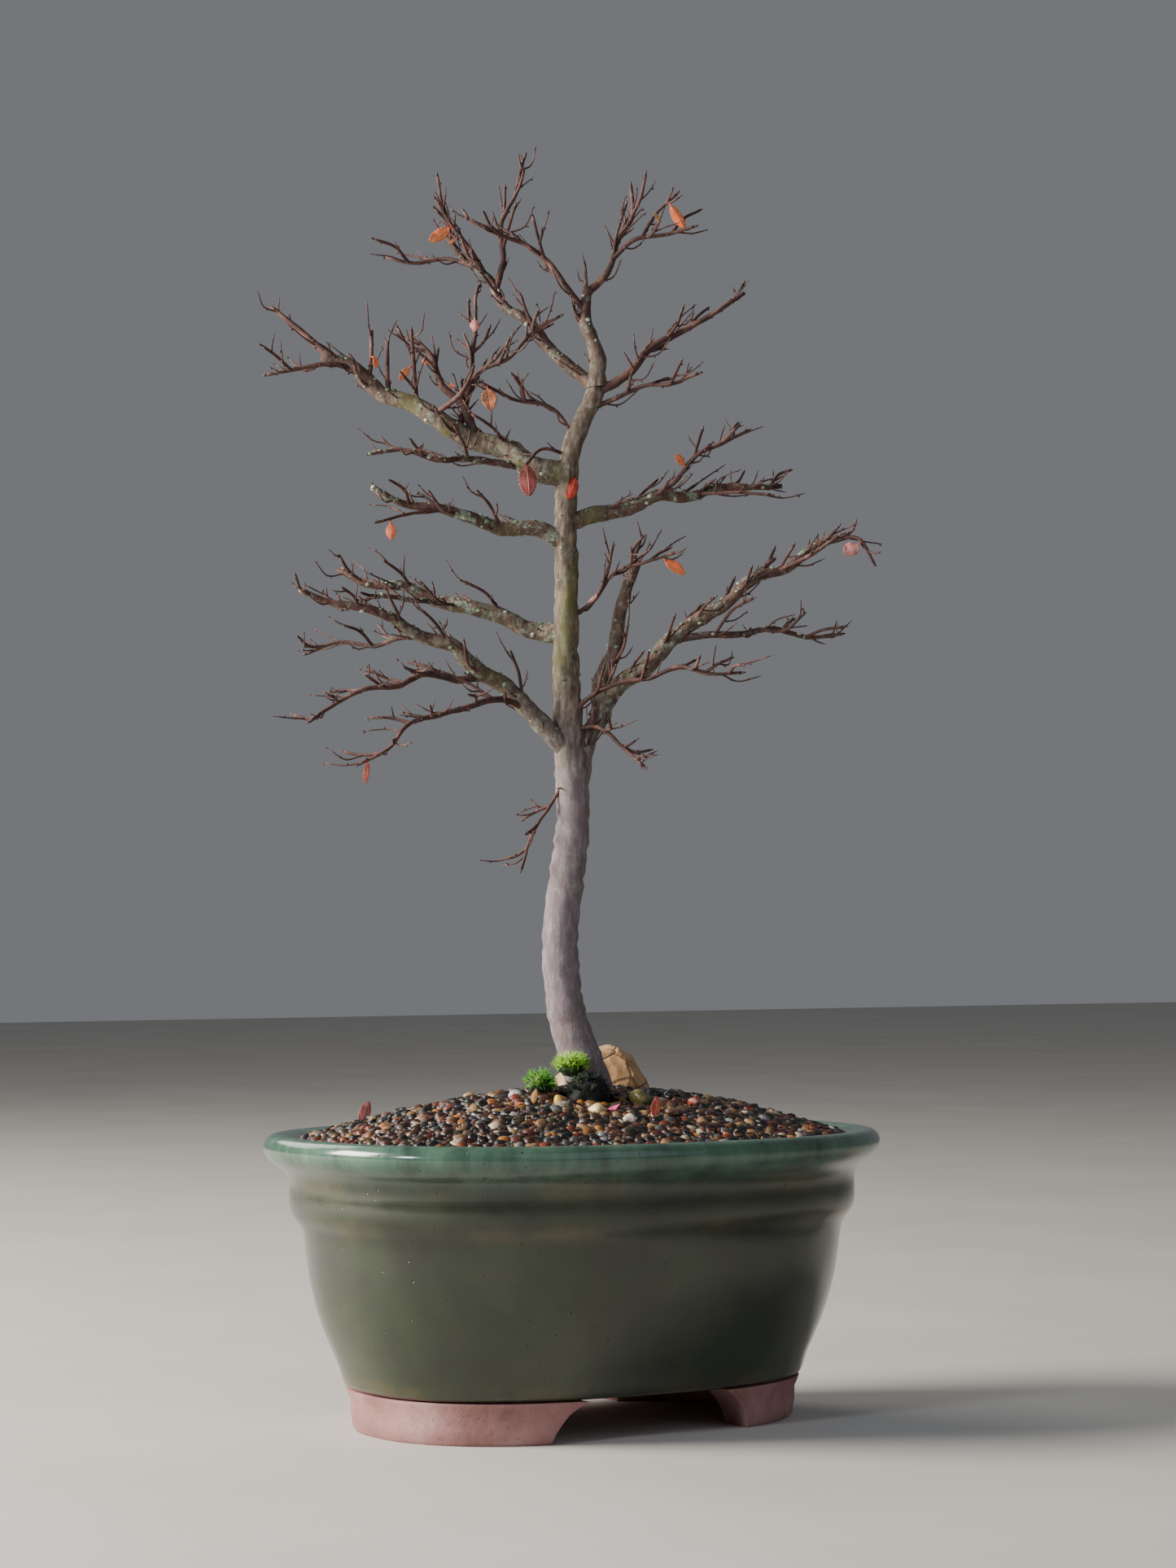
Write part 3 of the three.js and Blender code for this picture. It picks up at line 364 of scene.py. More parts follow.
def damp_grit(name, dark, light):
    """Damp potting grit: near black and brown crumbs that take no shine."""
    look, tree, shader = finish_of(name, 0.9)
    place = object_place(tree)
    body = ramp(tree, grain(tree, place, 2.2, 5.0, 0.7), [(0.32, dark), (0.66, light)])
    tree.links.new(body, shader.inputs["Base Color"])
    bump(tree, shader, grain(tree, place, 2.2, 4.0), 0.8)
    return look


def black_polythene():
    """Moulded polythene mesh: black, waxy, with a faint mould texture."""
    look, tree, shader = finish_of("black_polythene", 0.5, ior=1.51)
    body = ramp(tree, grain(tree, object_place(tree), 1.5, 2.0), [(0.3, "#121412"), (0.7, "#232622")])
    tree.links.new(body, shader.inputs["Base Color"])
    return look


def annealed_copper():
    """Annealed copper wire, dulled to brown where it has been wet."""
    look, tree, shader = finish_of("annealed_copper", 0.38, metallic=1.0)
    body = ramp(tree, grain(tree, object_place(tree), 2, 3.0), [(0.35, "#5b3a26"), (0.7, "#b87347")])
    tree.links.new(body, shader.inputs["Base Color"])
    return look


def pale_plaster():
    """The floor: plain pale plaster."""
    look, tree, shader = finish_of("pale_plaster", 0.85)
    body = ramp(tree, grain(tree, object_place(tree), 60, 2.0), [(0.3, "#b2afa9"), (0.7, "#bab7b1")])
    tree.links.new(body, shader.inputs["Base Color"])
    return look


# ------------------------------------------------------------------ making pieces

def piece_from(name, mesh_maker, looks, replaced=()):
    """Makes an object from a bmesh, gives it its materials and slot, and seats it on the frame."""
    mesh = bpy.data.meshes.new(name)
    mesh_maker.to_mesh(mesh)
    mesh_maker.free()
    return piece_of(name, mesh, looks, replaced)


def piece_of(name, mesh, looks, replaced=()):
    """Seats a finished mesh on the frame as a piece."""
    piece = bpy.data.objects.new(name, mesh)
    bpy.context.scene.collection.objects.link(piece)
    for look in looks:
        mesh.materials.append(look)
    mesh.shade_smooth()
    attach(piece, "root")
    if replaced:
        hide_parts(*replaced)
    return piece


def gathered(parts):
    """One bmesh of many, which are freed."""
    whole = bmesh.new()
    for part in parts:
        mesh = bpy.data.meshes.new("part")
        part.to_mesh(mesh)
        part.free()
        whole.from_mesh(mesh)
        bpy.data.meshes.remove(mesh)
    return whole


def copies(template, places):
    """One mesh of a template repeated at each place, a matrix."""
    whole = bmesh.new()
    for place in places:
        mesh = template.copy()
        mesh.transform(place)
        whole.from_mesh(mesh)
        bpy.data.meshes.remove(mesh)
    mesh = bpy.data.meshes.new("copies")
    whole.to_mesh(mesh)
    whole.free()
    return mesh


def colour_copies(mesh, colours):
    """Gives each copy in a mesh of equal copies its own colour."""
    per_copy = len(mesh.vertices) // len(colours)
    values = np.repeat(np.array(colours, dtype=np.float32), per_copy, axis=0)
    layer = mesh.color_attributes.new(name="stone_colour", type="FLOAT_COLOR", domain="POINT")
    layer.data.foreach_set("color", values.ravel())


def from_bmesh(maker):
    """A mesh from a bmesh, which is freed."""
    mesh = bpy.data.meshes.new("template")
    maker.to_mesh(mesh)
    maker.free()
    return mesh


def cad_surface(*nodes):
    """The CAD nodes as one surface to measure against."""
    whole = bmesh.new()
    for node in nodes:
        whole.from_mesh(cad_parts[node].data)
    tree = BVHTree.FromBMesh(whole)
    whole.free()
    return tree


def merged_copy(node):
    """A bmesh of a CAD node with its loose triangles joined."""
    maker = bmesh.new()
    maker.from_mesh(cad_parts[node].data)
    bmesh.ops.remove_doubles(maker, verts=maker.verts, dist=1e-6)
    return maker


# ------------------------------------------------------------------ the limbs

# The trunk: its radii evenly along its length, and its points (across, depth, up).
TRUNK = ("trunk", None, (9, 6.6, 5.9, 5.7, 5.3, 4.3, 3.8, 3.4, 2.9),
         [(5, 0, -12), (4, 0, 14), (-3, 0, 38), (-5, 0, 62), (-1, 0, 100), (-3, 0, 140), (-3, 0, 182),
          (-2, 0, 218), (7, 0, 241)])

# Each branch: its name, the limb it grows from, how far along that limb, its heading (0 is right, 90 is
# back, 180 is left), its rise in degrees at its foot and at its tip, its length, its radii at both.
BRANCHES = [
    ("second_stem", "trunk", 118, 12, 74, 76, 84, 3.3, 1.9),
    ("right_main", "second_stem", 30, -6, 48, 22, 104, 2.9, 1.4),
    ("right_low", "right_main", 36, 12, 12, -8, 58, 1.6, 0.8),
    ("right_rise", "right_main", 62, 24, 40, 50, 22, 1.2, 0.8),
    ("right_fork", "right_main", 78, -32, 8, 30, 26, 1.2, 0.8),
    ("right_tips", "right_main", 98, -18, 10, -62, 19, 0.9, 0.7),
    ("b3", "trunk", 136, 196, 50, 8, 106, 3.2, 1.1),
    ("b3_low", "b3", 36, 204, 6, -32, 66, 1.6, 0.8),
    ("b3_droop", "b3", 20, 214, 6, -44, 70, 1.5, 0.7),
    ("b3_mid", "b3", 58, 170, 2, -10, 44, 1.2, 0.8),
    ("b2", "trunk", 174, 176, 18, 14, 80, 3.1, 1.2),
    ("b2_low", "b2", 44, 200, 6, -14, 34, 1.2, 0.8),
    ("b1", "trunk", 204, 194, 8, 16, 68, 2.7, 1.1),
    ("b1_tail", "b1", 42, 206, -4, -12, 26, 0.9, 0.7),
    ("left_limb", "trunk", 226, 178, 20, 34, 92, 3.9, 2.0),
    ("lower_par", "left_limb", 12, 200, 2, 4, 56, 1.6, 0.8),
    ("back_stem", "left_limb", 34, 140, 62, 40, 48, 1.9, 1.0),
    ("mid_post", "left_limb", 40, 70, 62, 80, 50, 1.5, 0.8),
    ("long_pale", "left_limb", 50, -24, 38, 28, 56, 1.2, 0.8),
    ("left_end", "left_limb", 80, 190, -2, -10, 30, 1.3, 0.8),
    ("left_tip", "left_limb", 90, 176, 30, 58, 26, 1.6, 0.9),
    ("left_post_a", "left_limb", 66, 100, 80, 86, 19, 1.2, 0.9),
    ("left_post_b", "left_limb", 74, -80, 76, 84, 17, 1.1, 0.9),
    ("left_post_c", "left_limb", 56, -100, 72, 60, 26, 1.1, 0.8),
    ("right_limb", "trunk", 210, 8, 20, 2, 74, 2.7, 1.1),
    ("right_limb_up", "right_limb", 28, 20, 50, 22, 44, 1.3, 0.8),
    ("right_limb_low", "right_limb", 46, -30, -2, -12, 26, 1.0, 0.7),
    ("leader", "trunk", 262, 160, 74, 88, 34, 2.7, 1.8),
    ("upper_left", "trunk", 256, 172, 42, 50, 74, 2.3, 1.2),
    ("upper_left_rise", "upper_left", 48, 10, 90, 68, 44, 1.4, 0.8),
    ("upper_left_shoot", "upper_left", 54, 200, 46, 62, 30, 1.1, 0.8),
    ("upper_left_end", "upper_left", 60, 168, 8, 0, 30, 1.1, 0.8),
    ("leader_left", "leader", 26, 190, 64, 8, 50, 1.4, 0.8),
    ("leader_right", "leader", 32, 6, 48, 86, 40, 1.6, 0.8),
    ("reach", "leader_right", 14, -14, 28, 6, 30, 1.2, 0.8),
    ("reach_shoot", "reach", 12, 8, 60, 50, 19, 0.9, 0.75),
    ("crown_right", "trunk", 254, 4, 44, 24, 60, 1.9, 0.9),
    ("crown_right_low", "trunk", 248, -20, 24, 2, 40, 1.2, 0.8),
    ("hang_twig", "trunk", 238, 198, 42, 8, 38, 0.9, 0.75),
    ("leaf_arch", "trunk", 232, 212, 40, -60, 20, 0.9, 0.75),
    ("front_high", "trunk", 178, -28, 54, 4, 46, 1.1, 0.75),
    ("front_arch", "trunk", 146, -24, 36, -14, 66, 1.2, 0.75),
    ("front_droop", "trunk", 142, -36, 8, -56, 34, 1.1, 0.75),
    ("drop_left", "trunk", 130, 206, -42, -80, 37, 0.9, 0.75),
]

TREE_HEIGHT = 319
BEND_SPACING = 11
BEND = 13
SHOOT_SPACING = 8
FIRST_SHOOT = 14
SHOOT_LENGTH = 15
SHOOT_FOOT = 0.85
SHOOT_TIP = 0.72
SHOOT_SPREAD = 48
BARE_BELOW = 28
FINE_SPACING = 9
FINE_LENGTH = 9
FINE_FOOT = 0.52
FINE_TIP = 0.3


def shoots_of(branch):
    """The shoots along a branch, written as branches."""
    name, _, _, heading, rise_at_foot, rise_at_tip, length = branch[:7]
    shoots = []
    run = FIRST_SHOOT
    while length >= BARE_BELOW and run < length - 3:
        number = len(shoots)
        side = 1 if number % 2 else -1
        rise = rise_at_foot + (rise_at_tip - rise_at_foot) * run / length
        size = (1.15 - 0.55 * run / length) * (1 + 0.35 * math.sin(3.1 * number + length))
        first_rise = 0.6 * rise + 16 + 20 * math.sin(2.1 * number + length)
        shoots.append((f"{name}_shoot_{number + 1}", name, run, heading + side * SHOOT_SPREAD,
                       first_rise, 0.6 * rise + 24, SHOOT_LENGTH * size, SHOOT_FOOT, SHOOT_TIP))
        run += SHOOT_SPACING
    return shoots


def fine_twigs_of(branch):
    """Hair-thin twigs along a branch or a shoot."""
    name, _, _, heading, rise_at_foot, rise_at_tip, length = branch[:7]
    twigs = []
    run = FINE_SPACING * 0.6
    while run < length - 1:
        number = len(twigs)
        side = 1 if number % 2 else -1
        rise = rise_at_foot + (rise_at_tip - rise_at_foot) * run / length
        size = 1 + 0.45 * math.sin(2.7 * number + length + heading)
        twigs.append((f"{name}_fine_{number + 1}", name, run, heading - side * 42,
                      0.6 * rise + 18 * side, 0.6 * rise + 26, FINE_LENGTH * size, FINE_FOOT, FINE_TIP))
        run += FINE_SPACING
    return twigs


def point_along(points, distance):
    """The point at a distance along a line of points."""
    left = distance
    for start, end in zip(points, points[1:]):
        span = (end - start).length
        if left <= span:
            return start.lerp(end, left / span)
        left -= span
    return points[-1].copy()


def drawn_branch(drawn, branch, number):
    """A branch's points, each turned a little from the one before."""
    name, parent, along, heading, rise_at_foot, rise_at_tip, length, foot, tip = branch
    points = [point_along(drawn[parent], along)]
    spans = max(2, math.floor(length / BEND_SPACING + 0.5))
    for i in range(spans):
        turn = math.radians(heading + BEND * math.sin(1.9 * i + 2.4 * number))
        climb = rise_at_foot + (rise_at_tip - rise_at_foot) * (i + 0.5) / spans
        rise = math.radians(climb + BEND * math.sin(2.6 * i + 1.7 * number))
        step = Vector((math.cos(turn) * math.cos(rise), math.sin(turn) * math.cos(rise), math.sin(rise)))
        points.append(points[-1] + step * (length / spans))
    drawn[name] = points
    return name, parent, (foot, 0.6 * foot + 0.4 * tip, tip), points


def drawn_limbs():
    """The trunk, the branches, their shoots and the fine twigs, scaled to the tree's height."""
    drawn = {"trunk": [Vector(place) for place in TRUNK[3]]}
    shoots = [shoot for branch in BRANCHES for shoot in shoots_of(branch)]
    limbs = [drawn_branch(drawn, branch, number) for number, branch in enumerate(BRANCHES + shoots)]
    scale = TREE_HEIGHT / max(point.z for points in drawn.values() for point in points)
    twigs = [twig for branch in BRANCHES + shoots for twig in fine_twigs_of(branch)]
    limbs += [drawn_branch(drawn, twig, number) for number, twig in enumerate(twigs)]
    return [(name, parent, radii, [Vector(place) * scale for place in places])
            for name, parent, radii, places in [TRUNK, *limbs]]


ROOTS = [
    ("root_right", "trunk", (4.5, 3, 2, 1.2), [(5, 0, -4), (22, -6, -12), (38, -12, -26), (47, -16,
            -40)]),
    ("root_left", "trunk", (4.8, 3.2, 2.2, 1.2), [(5, 0, -4), (-12, -8, -11), (-32, -13, -22), (-46, -12,
            -38)]),
    ("root_back_left", "trunk", (4.2, 2.8, 1.8, 1.2), [(5, 0, -4), (-6, 13, -12), (-15, 28, -24), (-18,
            36, -40)]),
    ("root_back_right", "trunk", (4.2, 2.6, 1.8, 1.2), [(5, 0, -4), (14, 13, -13), (28, 24, -26), (36, 29,
            -42)]),
    ("root_front", "trunk", (4.4, 2.8, 1.8, 1.2), [(5, 0, -4), (6, -15, -11), (2, -31, -24), (-4, -40,
            -40)]),
]


# ------------------------------------------------------------------ pot

HALF_LENGTH = POT_LENGTH / 2
OVAL_STRETCH = (POT_LENGTH - POT_WIDTH) / 2
OVAL_CORE = 40
OVAL_SQUARENESS = 2.39
POT_SEGMENTS = 144
FOOT_HEIGHT = 12.9
ARCH_AT_TABLE = 74
ARCH_AT_TOP = 52
FLOOR_TOP = FOOT_HEIGHT + 7
DRAIN_DIAMETER = 14
DRAIN_SPACING = 66

# The outside of the wall from the lip's crown down: how far inside the widest line, and how high.
WALL_OUTSIDE = [
    (9.4, 92.2), (6.2, 93.2), (3.4, 93.5), (1.3, 92.6), (0.2, 90.8), (0, 89), (0.5, 87), (1.7, 85.3),
    (4, 83.5), (6.6, 81.6), (8.0, 79.4), (8.1, 76.5), (7.9, 73), (8.0, 70), (8.6, 67.8), (10.4, 65.4),
    (12.2, 63.2),
    (12.9, 57), (13.8, 49.7), (15, 43.5), (16.5, 37.6), (18.5, 31.6), (20.8, 25.7), (22.9, 21), (23.8,
            17.6),
    (24.7, 14.6),
]
# The underside and the inside, from the foot's edge round to the mouth.
WALL_INSIDE = [
    (26, 12.9), (60, 12.9), (102.5, 12.9), (102.5, 19.9), (60, 19.9), (38.5, 19.9), (31.5, 21.4), (28.9,
            27.9),
    (24.4, 37.9), (20.6, 48), (19.5, 60.5), (18.6, 68.5), (15.6, 79.5), (12.3, 90.4), (11.2, 91.6),
]
FOOT_OUTLINE = [
    (25.6, 13.2), (26.0, 11.9), (27.0, 9.5), (27.1, 5), (27.7, 1.2), (28.5, 0), (39.0, 0), (40, 1),
    (40, 13.2),
]


def pressed_oval(half_length, angle):
    """The plan of the pot: a circle pressed into an oval with a constant band down to its core."""
    if half_length > OVAL_CORE:
        half_width = half_length - OVAL_STRETCH
    else:
        half_width = half_length * (OVAL_CORE - OVAL_STRETCH) / OVAL_CORE
    return half_length * signed_power(math.cos(angle)), half_width * signed_power(math.sin(angle))


def signed_power(value):
    """A cosine or sine, pressed towards the corners."""
    return math.copysign(abs(value) ** (2 / OVAL_SQUARENESS), value)


def thrown(outline, closed):
    """Spins an outline of (inset, height) round the pot's axis and presses it into the oval."""
    maker = bmesh.new()
    rim = [maker.verts.new((HALF_LENGTH - inset, 0, height)) for inset, height in outline]
    edges = [maker.edges.new(pair) for pair in zip(rim, rim[1:])]
    if closed:
        edges.append(maker.edges.new((rim[-1], rim[0])))
    bmesh.ops.spin(maker, geom=rim + edges, cent=(0, 0, 0), axis=(0, 0, 1), angle=math.tau,
                   steps=POT_SEGMENTS, use_merge=True)
    bmesh.ops.remove_doubles(maker, verts=maker.verts, dist=0.001)
    for vert in maker.verts:
        half_length = math.hypot(vert.co.x, vert.co.y)
        vert.co.x, vert.co.y = pressed_oval(half_length, math.atan2(vert.co.y, vert.co.x))
    bmesh.ops.recalc_face_normals(maker, faces=maker.faces)
    return maker


def with_modifiers(maker, *changes):
    """A bmesh after modifiers, each a (kind, settings) pair."""
    mesh = from_bmesh(maker)
    holder = bpy.data.objects.new("holder", mesh)
    bpy.context.scene.collection.objects.link(holder)
    for number, (kind, settings) in enumerate(changes):
        modifier = holder.modifiers.new(f"step_{number}", kind)
        for name, value in settings.items():
            setattr(modifier, name, value)
    graph = bpy.context.evaluated_depsgraph_get()
    made = bmesh.new()
    made.from_object(holder, graph)
    bpy.data.objects.remove(holder)
    return made


def cutter_object(maker):
    """A throwaway object that a Boolean modifier cuts with."""
    cutter = bpy.data.objects.new("cutter", from_bmesh(maker))
    bpy.context.scene.collection.objects.link(cutter)
    return cutter


def arch_cutter():
    """The prism that leaves two feet of the foot ring: coved at its ends, right across the pot."""
    maker = bmesh.new()
    half_top, half_table = ARCH_AT_TOP / 2, ARCH_AT_TABLE / 2
    cove = []
    for step in range(9):
        share = step / 8
        across = ((1 - share) ** 2 * half_table + 2 * share * (1 - share) * (half_table - 3)
                  + share ** 2 * half_top)
        up = 2 * share * (1 - share) * 0.7 * FOOT_HEIGHT + share ** 2 * FOOT_HEIGHT
        cove.append((across, up))
    cove = [(half_table, -2)] + cove + [(half_top, FOOT_HEIGHT + 3)]
    outline = cove + [(-across, up) for across, up in reversed(cove)]
    ring = [maker.verts.new((across, -POT_WIDTH, up)) for across, up in outline]
    face = maker.faces.new(ring)
    swept = bmesh.ops.extrude_face_region(maker, geom=[face])["geom"]
    bmesh.ops.translate(maker, verts=[part for part in swept if isinstance(part, bmesh.types.BMVert)],
                        vec=(0, 2 * POT_WIDTH, 0))
    bmesh.ops.recalc_face_normals(maker, faces=maker.faces)
    return maker


def drain_cutter():
    """Two drain holes through the floor."""
    maker = bmesh.new()
    for side in (-1, 1):
        place = Matrix.Translation((side * DRAIN_SPACING / 2, 0, FLOOR_TOP - 3.5))
        bmesh.ops.create_cone(maker, cap_ends=True, segments=48, radius1=DRAIN_DIAMETER / 2,
                              radius2=DRAIN_DIAMETER / 2, depth=20, matrix=place)
    return maker


def thrown_body():
    """The wall, lip and floor, smoothed, with a hand's unevenness, and drilled for drains."""
    maker = thrown(WALL_OUTSIDE + WALL_INSIDE, closed=True)
    maker = with_modifiers(maker, ("SUBSURF", {"levels": 1, "render_levels": 1}))
    for vert in maker.verts:
        if vert.co.z > FOOT_HEIGHT + 1:
            sway = noise.noise(vert.co * 0.03) * 0.35
            vert.co += Vector((vert.co.x, vert.co.y, 0)).normalized() * (sway - 0.18)
    cutter = cutter_object(drain_cutter())
    drilled = with_modifiers(maker, ("BOOLEAN", {"object": cutter, "solver": "EXACT"}))
    bpy.data.objects.remove(cutter)
    return drilled


def carved_feet():
    """The foot ring, carved into two C-shaped feet."""
    ring = thrown(FOOT_OUTLINE, closed=True)
    cutter = cutter_object(arch_cutter())
    feet = with_modifiers(ring, ("BOOLEAN", {"object": cutter, "solver": "EXACT"}),
                          ("BEVEL", {"width": 0.5, "segments": 2, "limit_method": "ANGLE",
                                     "angle_limit": math.radians(50)}))
    bpy.data.objects.remove(cutter)
    return feet


def glaze_or_clay(maker):
    """Material 0, the glaze, down to the foot's edge and just inside the mouth; 1, the clay, below."""
    for face in maker.faces:
        middle = face.calc_center_median()
        inside = math.hypot(middle.x / POT_LENGTH,
                            middle.y / POT_WIDTH) < 0.44 and middle.z < POT_HEIGHT - 12
        under = face.normal.z < -0.9 and middle.z < FOOT_HEIGHT + 0.4
        facing_in = face.normal.dot(Vector((middle.x, middle.y, 0))) < 0 and middle.z < POT_HEIGHT - 8
        face.material_index = int(middle.z < FOOT_HEIGHT + 0.7 or under or facing_in and inside)


# ------------------------------------------------------------------ tree

LICHENED = {
    "b1": 0.9, "b2": 0.8, "b2_low": 0.6, "right_limb": 0.8, "right_main": 0.85, "right_low": 0.6,
    "left_limb": 0.6, "b3": 0.5, "upper_left": 0.4, "lower_par": 0.5, "second_stem": 0.45, "leader": 0.35,
    "trunk": 0.22,
}
THICK_LIMB = 2.4
PATH_STEP = 1.6  # mm between rings on a twig
CUT_GIRTH = 0.6  # a limb that ends thicker than this was pruned, and shows pale wood


def smooth_path(points, per_span):
    """A centripetal curve through points, per_span lengths between each two."""
    first = points[0] * 2 - points[1]
    last = points[-1] * 2 - points[-2]
    held = [first, *points, last]
    path = []
    for number in range(1, len(held) - 2):
        four = held[number - 1:number + 3]
        knots = [0.0]
        for one, two in zip(four, four[1:]):
            knots.append(knots[-1] + max((two - one).length, 0.01) ** 0.5)
        spans = max(1, round((four[2] - four[1]).length / per_span))
        for step in range(spans):
            path.append(on_curve(four, knots, knots[1] + (knots[2] - knots[1]) * step / spans))
    path.append(points[-1].copy())
    return path


def between(one, other, start, end, at):
    """The point between two, at a knot value that runs from start to end."""
    return one.lerp(other, (at - start) / (end - start))


def on_curve(four, knots, at):
    """A point of the centripetal curve through four points, between the middle two."""
    first = between(four[0], four[1], knots[0], knots[1], at)
    middle = between(four[1], four[2], knots[1], knots[2], at)
    last = between(four[2], four[3], knots[2], knots[3], at)
    low = between(first, middle, knots[0], knots[2], at)
    high = between(middle, last, knots[1], knots[3], at)
    return between(low, high, knots[1], knots[2], at)


def nearest_on(path, point):
    """The point of a path nearest to a point."""
    best = None
    for start, end in zip(path, path[1:]):
        along = end - start
        share = min(max((point - start).dot(along) / max(along.length_squared, 1e-9), 0), 1)
        place = start + along * share
        if best is None or (place - point).length < (best - point).length:
            best = place
    return best


def radius_along(radii, share):
    """The radius at a share of a limb's length."""
    place = share * (len(radii) - 1)
    low = min(int(place), len(radii) - 2)
    return radii[low] + (radii[low + 1] - radii[low]) * (place - low)


def grown_limbs():
    """Every limb as its path and the radius at each point of it, its first point on its parent."""
    grown = {}
    for name, parent, radii, places in drawn_limbs() + ROOTS:
        points = [Vector(place) for place in places]
        if parent:
            points[0] = nearest_on(grown[parent][0], points[0])
        step = 2.2 if max(radii) > THICK_LIMB else PATH_STEP
        path = smooth_path(points, step)
        girths = [slimmed(radius_along(radii, i / (len(path) - 1))) for i in range(len(path))]
        grown[name] = (path, girths)
    return grown


def slimmed(girth):
    """The bark's own girth: twigs are slimmer than the plain tubes that stand for them."""
    return girth * (0.62 + 0.38 * min(max((girth - 0.6) / 1.9, 0), 1))


def drift(place):
    """A smooth wandering direction that depends on the place alone, so that every run is the same."""
    return Vector([noise.noise(place + Vector((0, 0, shift))) for shift in (0, 31, 67)])


def roughened(path, girths, seed, is_child):
    """The girths with a collar where the limb leaves its parent, knuckles, and a slightly bent path."""
    bent, thick, run = [], [], 0.0
    for number, (point, girth) in enumerate(zip(path, girths)):
        if number:
            run += (point - path[number - 1]).length
        collar = 1 + (0.25 * math.exp(-run / (1.6 * girths[0])) if is_child else 0)
        knuckle = 1 + 0.13 * noise.noise(Vector((run / 3.1, seed * 7.3, 0)))
        thick.append(girth * collar * knuckle)
        sway = drift(Vector((run / 4.5, seed * 3.1, 5.0))) * min(0.35, girth * 0.28)
        bent.append(point + sway * min(run / 3, 1))
    return bent, thick


def swept(path, girths, sides, cut):
    """A limb: a ring at its foot, extruded from point to point of its path, closed by a cut or a tip."""
    maker = bmesh.new()
    age = maker.verts.layers.float.new("age")
    ring = bmesh.ops.create_circle(maker, segments=sides, radius=1)["verts"]
    normal = (path[1] - path[0]).normalized().orthogonal().normalized()
    for number, (point, girth) in enumerate(zip(path, girths)):
        ahead = path[min(number + 1, len(path) - 1)] - path[max(number - 1, 0)]
        ahead.normalize()
        normal = (normal - ahead * normal.dot(ahead)).normalized()
        across = ahead.cross(normal)
        if number:
            neighbours = zip(ring, ring[1:] + ring[:1])
            edges = [maker.edges.get(pair) for pair in neighbours]
            bmesh.ops.extrude_edge_only(maker, edges=edges)
            maker.verts.ensure_lookup_table()
            new_verts = set(maker.verts[-sides:])
            follows = {}
            for vert in ring:
                follows[vert] = next(edge.other_vert(vert) for edge in vert.link_edges
                                     if edge.other_vert(vert) in new_verts)
            ring = [follows[vert] for vert in ring]
        for side, vert in enumerate(ring):
            turn = math.tau * side / sides
            vert.co = point + (normal * math.cos(turn) + across * math.sin(turn)) * girth
            vert[age] = min(max((girth - 0.9) / 3.4, 0), 1)
    cap = bmesh.ops.contextual_create(maker, geom=ring)["faces"]
    if cut:
        made = bmesh.ops.inset_region(maker, faces=cap, thickness=girths[-1] * 0.18,
                                      depth=-girths[-1] * 0.05)
        for face in cap:
            face.material_index = 1
        for face in made["faces"]:
            face.material_index = 0
    bmesh.ops.recalc_face_normals(maker, faces=maker.faces)
    return maker


def barked(maker, seed, lichen):
    """Raises upright ridges, lumps and crusts on a limb's surface."""
    crust = maker.verts.layers.float.new("lichen")
    age = maker.verts.layers.float["age"]
    maker.normal_update()
    shifts = []
    for vert in maker.verts:
        place = vert.co
        ridges = noise.noise(Vector((place.x * 0.55, place.y * 0.55, place.z * 0.14)) + Vector((seed, 0,
                0)))
        lumps = noise.noise(place * 0.22 + Vector((0, seed, 0)))
        scabs = max(noise.noise(place * 0.7 + Vector((9, 0, seed))), 0) * lichen
        roughness = 0.12 + 0.88 * min(max((place.z - 90) / 50, 0), 1)
        shifts.append(vert.normal * (vert[age] * roughness * (ridges * 0.5 + lumps * 0.7) + scabs * 0.5))
        vert[crust] = lichen * min(max(0.65 + noise.noise(place * 0.11) * 1.4, 0), 1)
    for vert, shift in zip(maker.verts, shifts):
        vert.co += shift


def flared(maker):
    """The trunk's foot: spreads it into roots where it meets the gravel."""
    foot = Vector((4.2, 0, 0))
    for vert in maker.verts:
        if vert.co.z < 40:
            out = Vector((vert.co.x - foot.x, vert.co.y, 0))
            turn = math.atan2(out.y, out.x)
            spread = math.exp(-max(vert.co.z - 8, -6) / 9)
            lobes = 0.5 + 0.5 * math.cos(turn * 5 + 0.6)
            vert.co += out.normalized() * spread * (0.7 + 1.5 * lobes)


def swept_limb(name, path, girths, seed, is_child):
    """One limb with its bark, still in the tree's own millimetres."""
    bent, thick = roughened(path, girths, seed, is_child)
    thickest = max(girths)
    sides = 28 if thickest > 5 else 16 if thickest > THICK_LIMB else 10 if thickest > 1.2 else 7
    cut = girths[-1] > CUT_GIRTH
    maker = swept(bent, thick, sides, cut)
    barked(maker, seed, LICHENED.get(name, 0.12))
    if name == "trunk":
        flared(maker)
    return maker


def twig_places(grown, rng, spacing):
    """Where buds sit on the twigs: point, direction out of the wood, direction along it, girth."""
    places = []
    for name, (path, girths) in grown.items():
        if name.startswith("root") or name == "trunk":
            continue
        run, due, side = 0.0, rng.uniform(2, spacing), rng.uniform(0, math.tau)
        for number in range(1, len(path)):
            run += (path[number] - path[number - 1]).length
            if run < due or girths[number] > 1.5:
                continue
            due = run + spacing * rng.uniform(0.7, 1.4)
            side += math.pi + rng.uniform(-0.7, 0.7)
            ahead = (path[number] - path[number - 1]).normalized()
            out = Matrix.Rotation(side, 3, ahead) @ ahead.orthogonal().normalized()
            places.append((path[number], out, ahead, girths[number]))
    return places


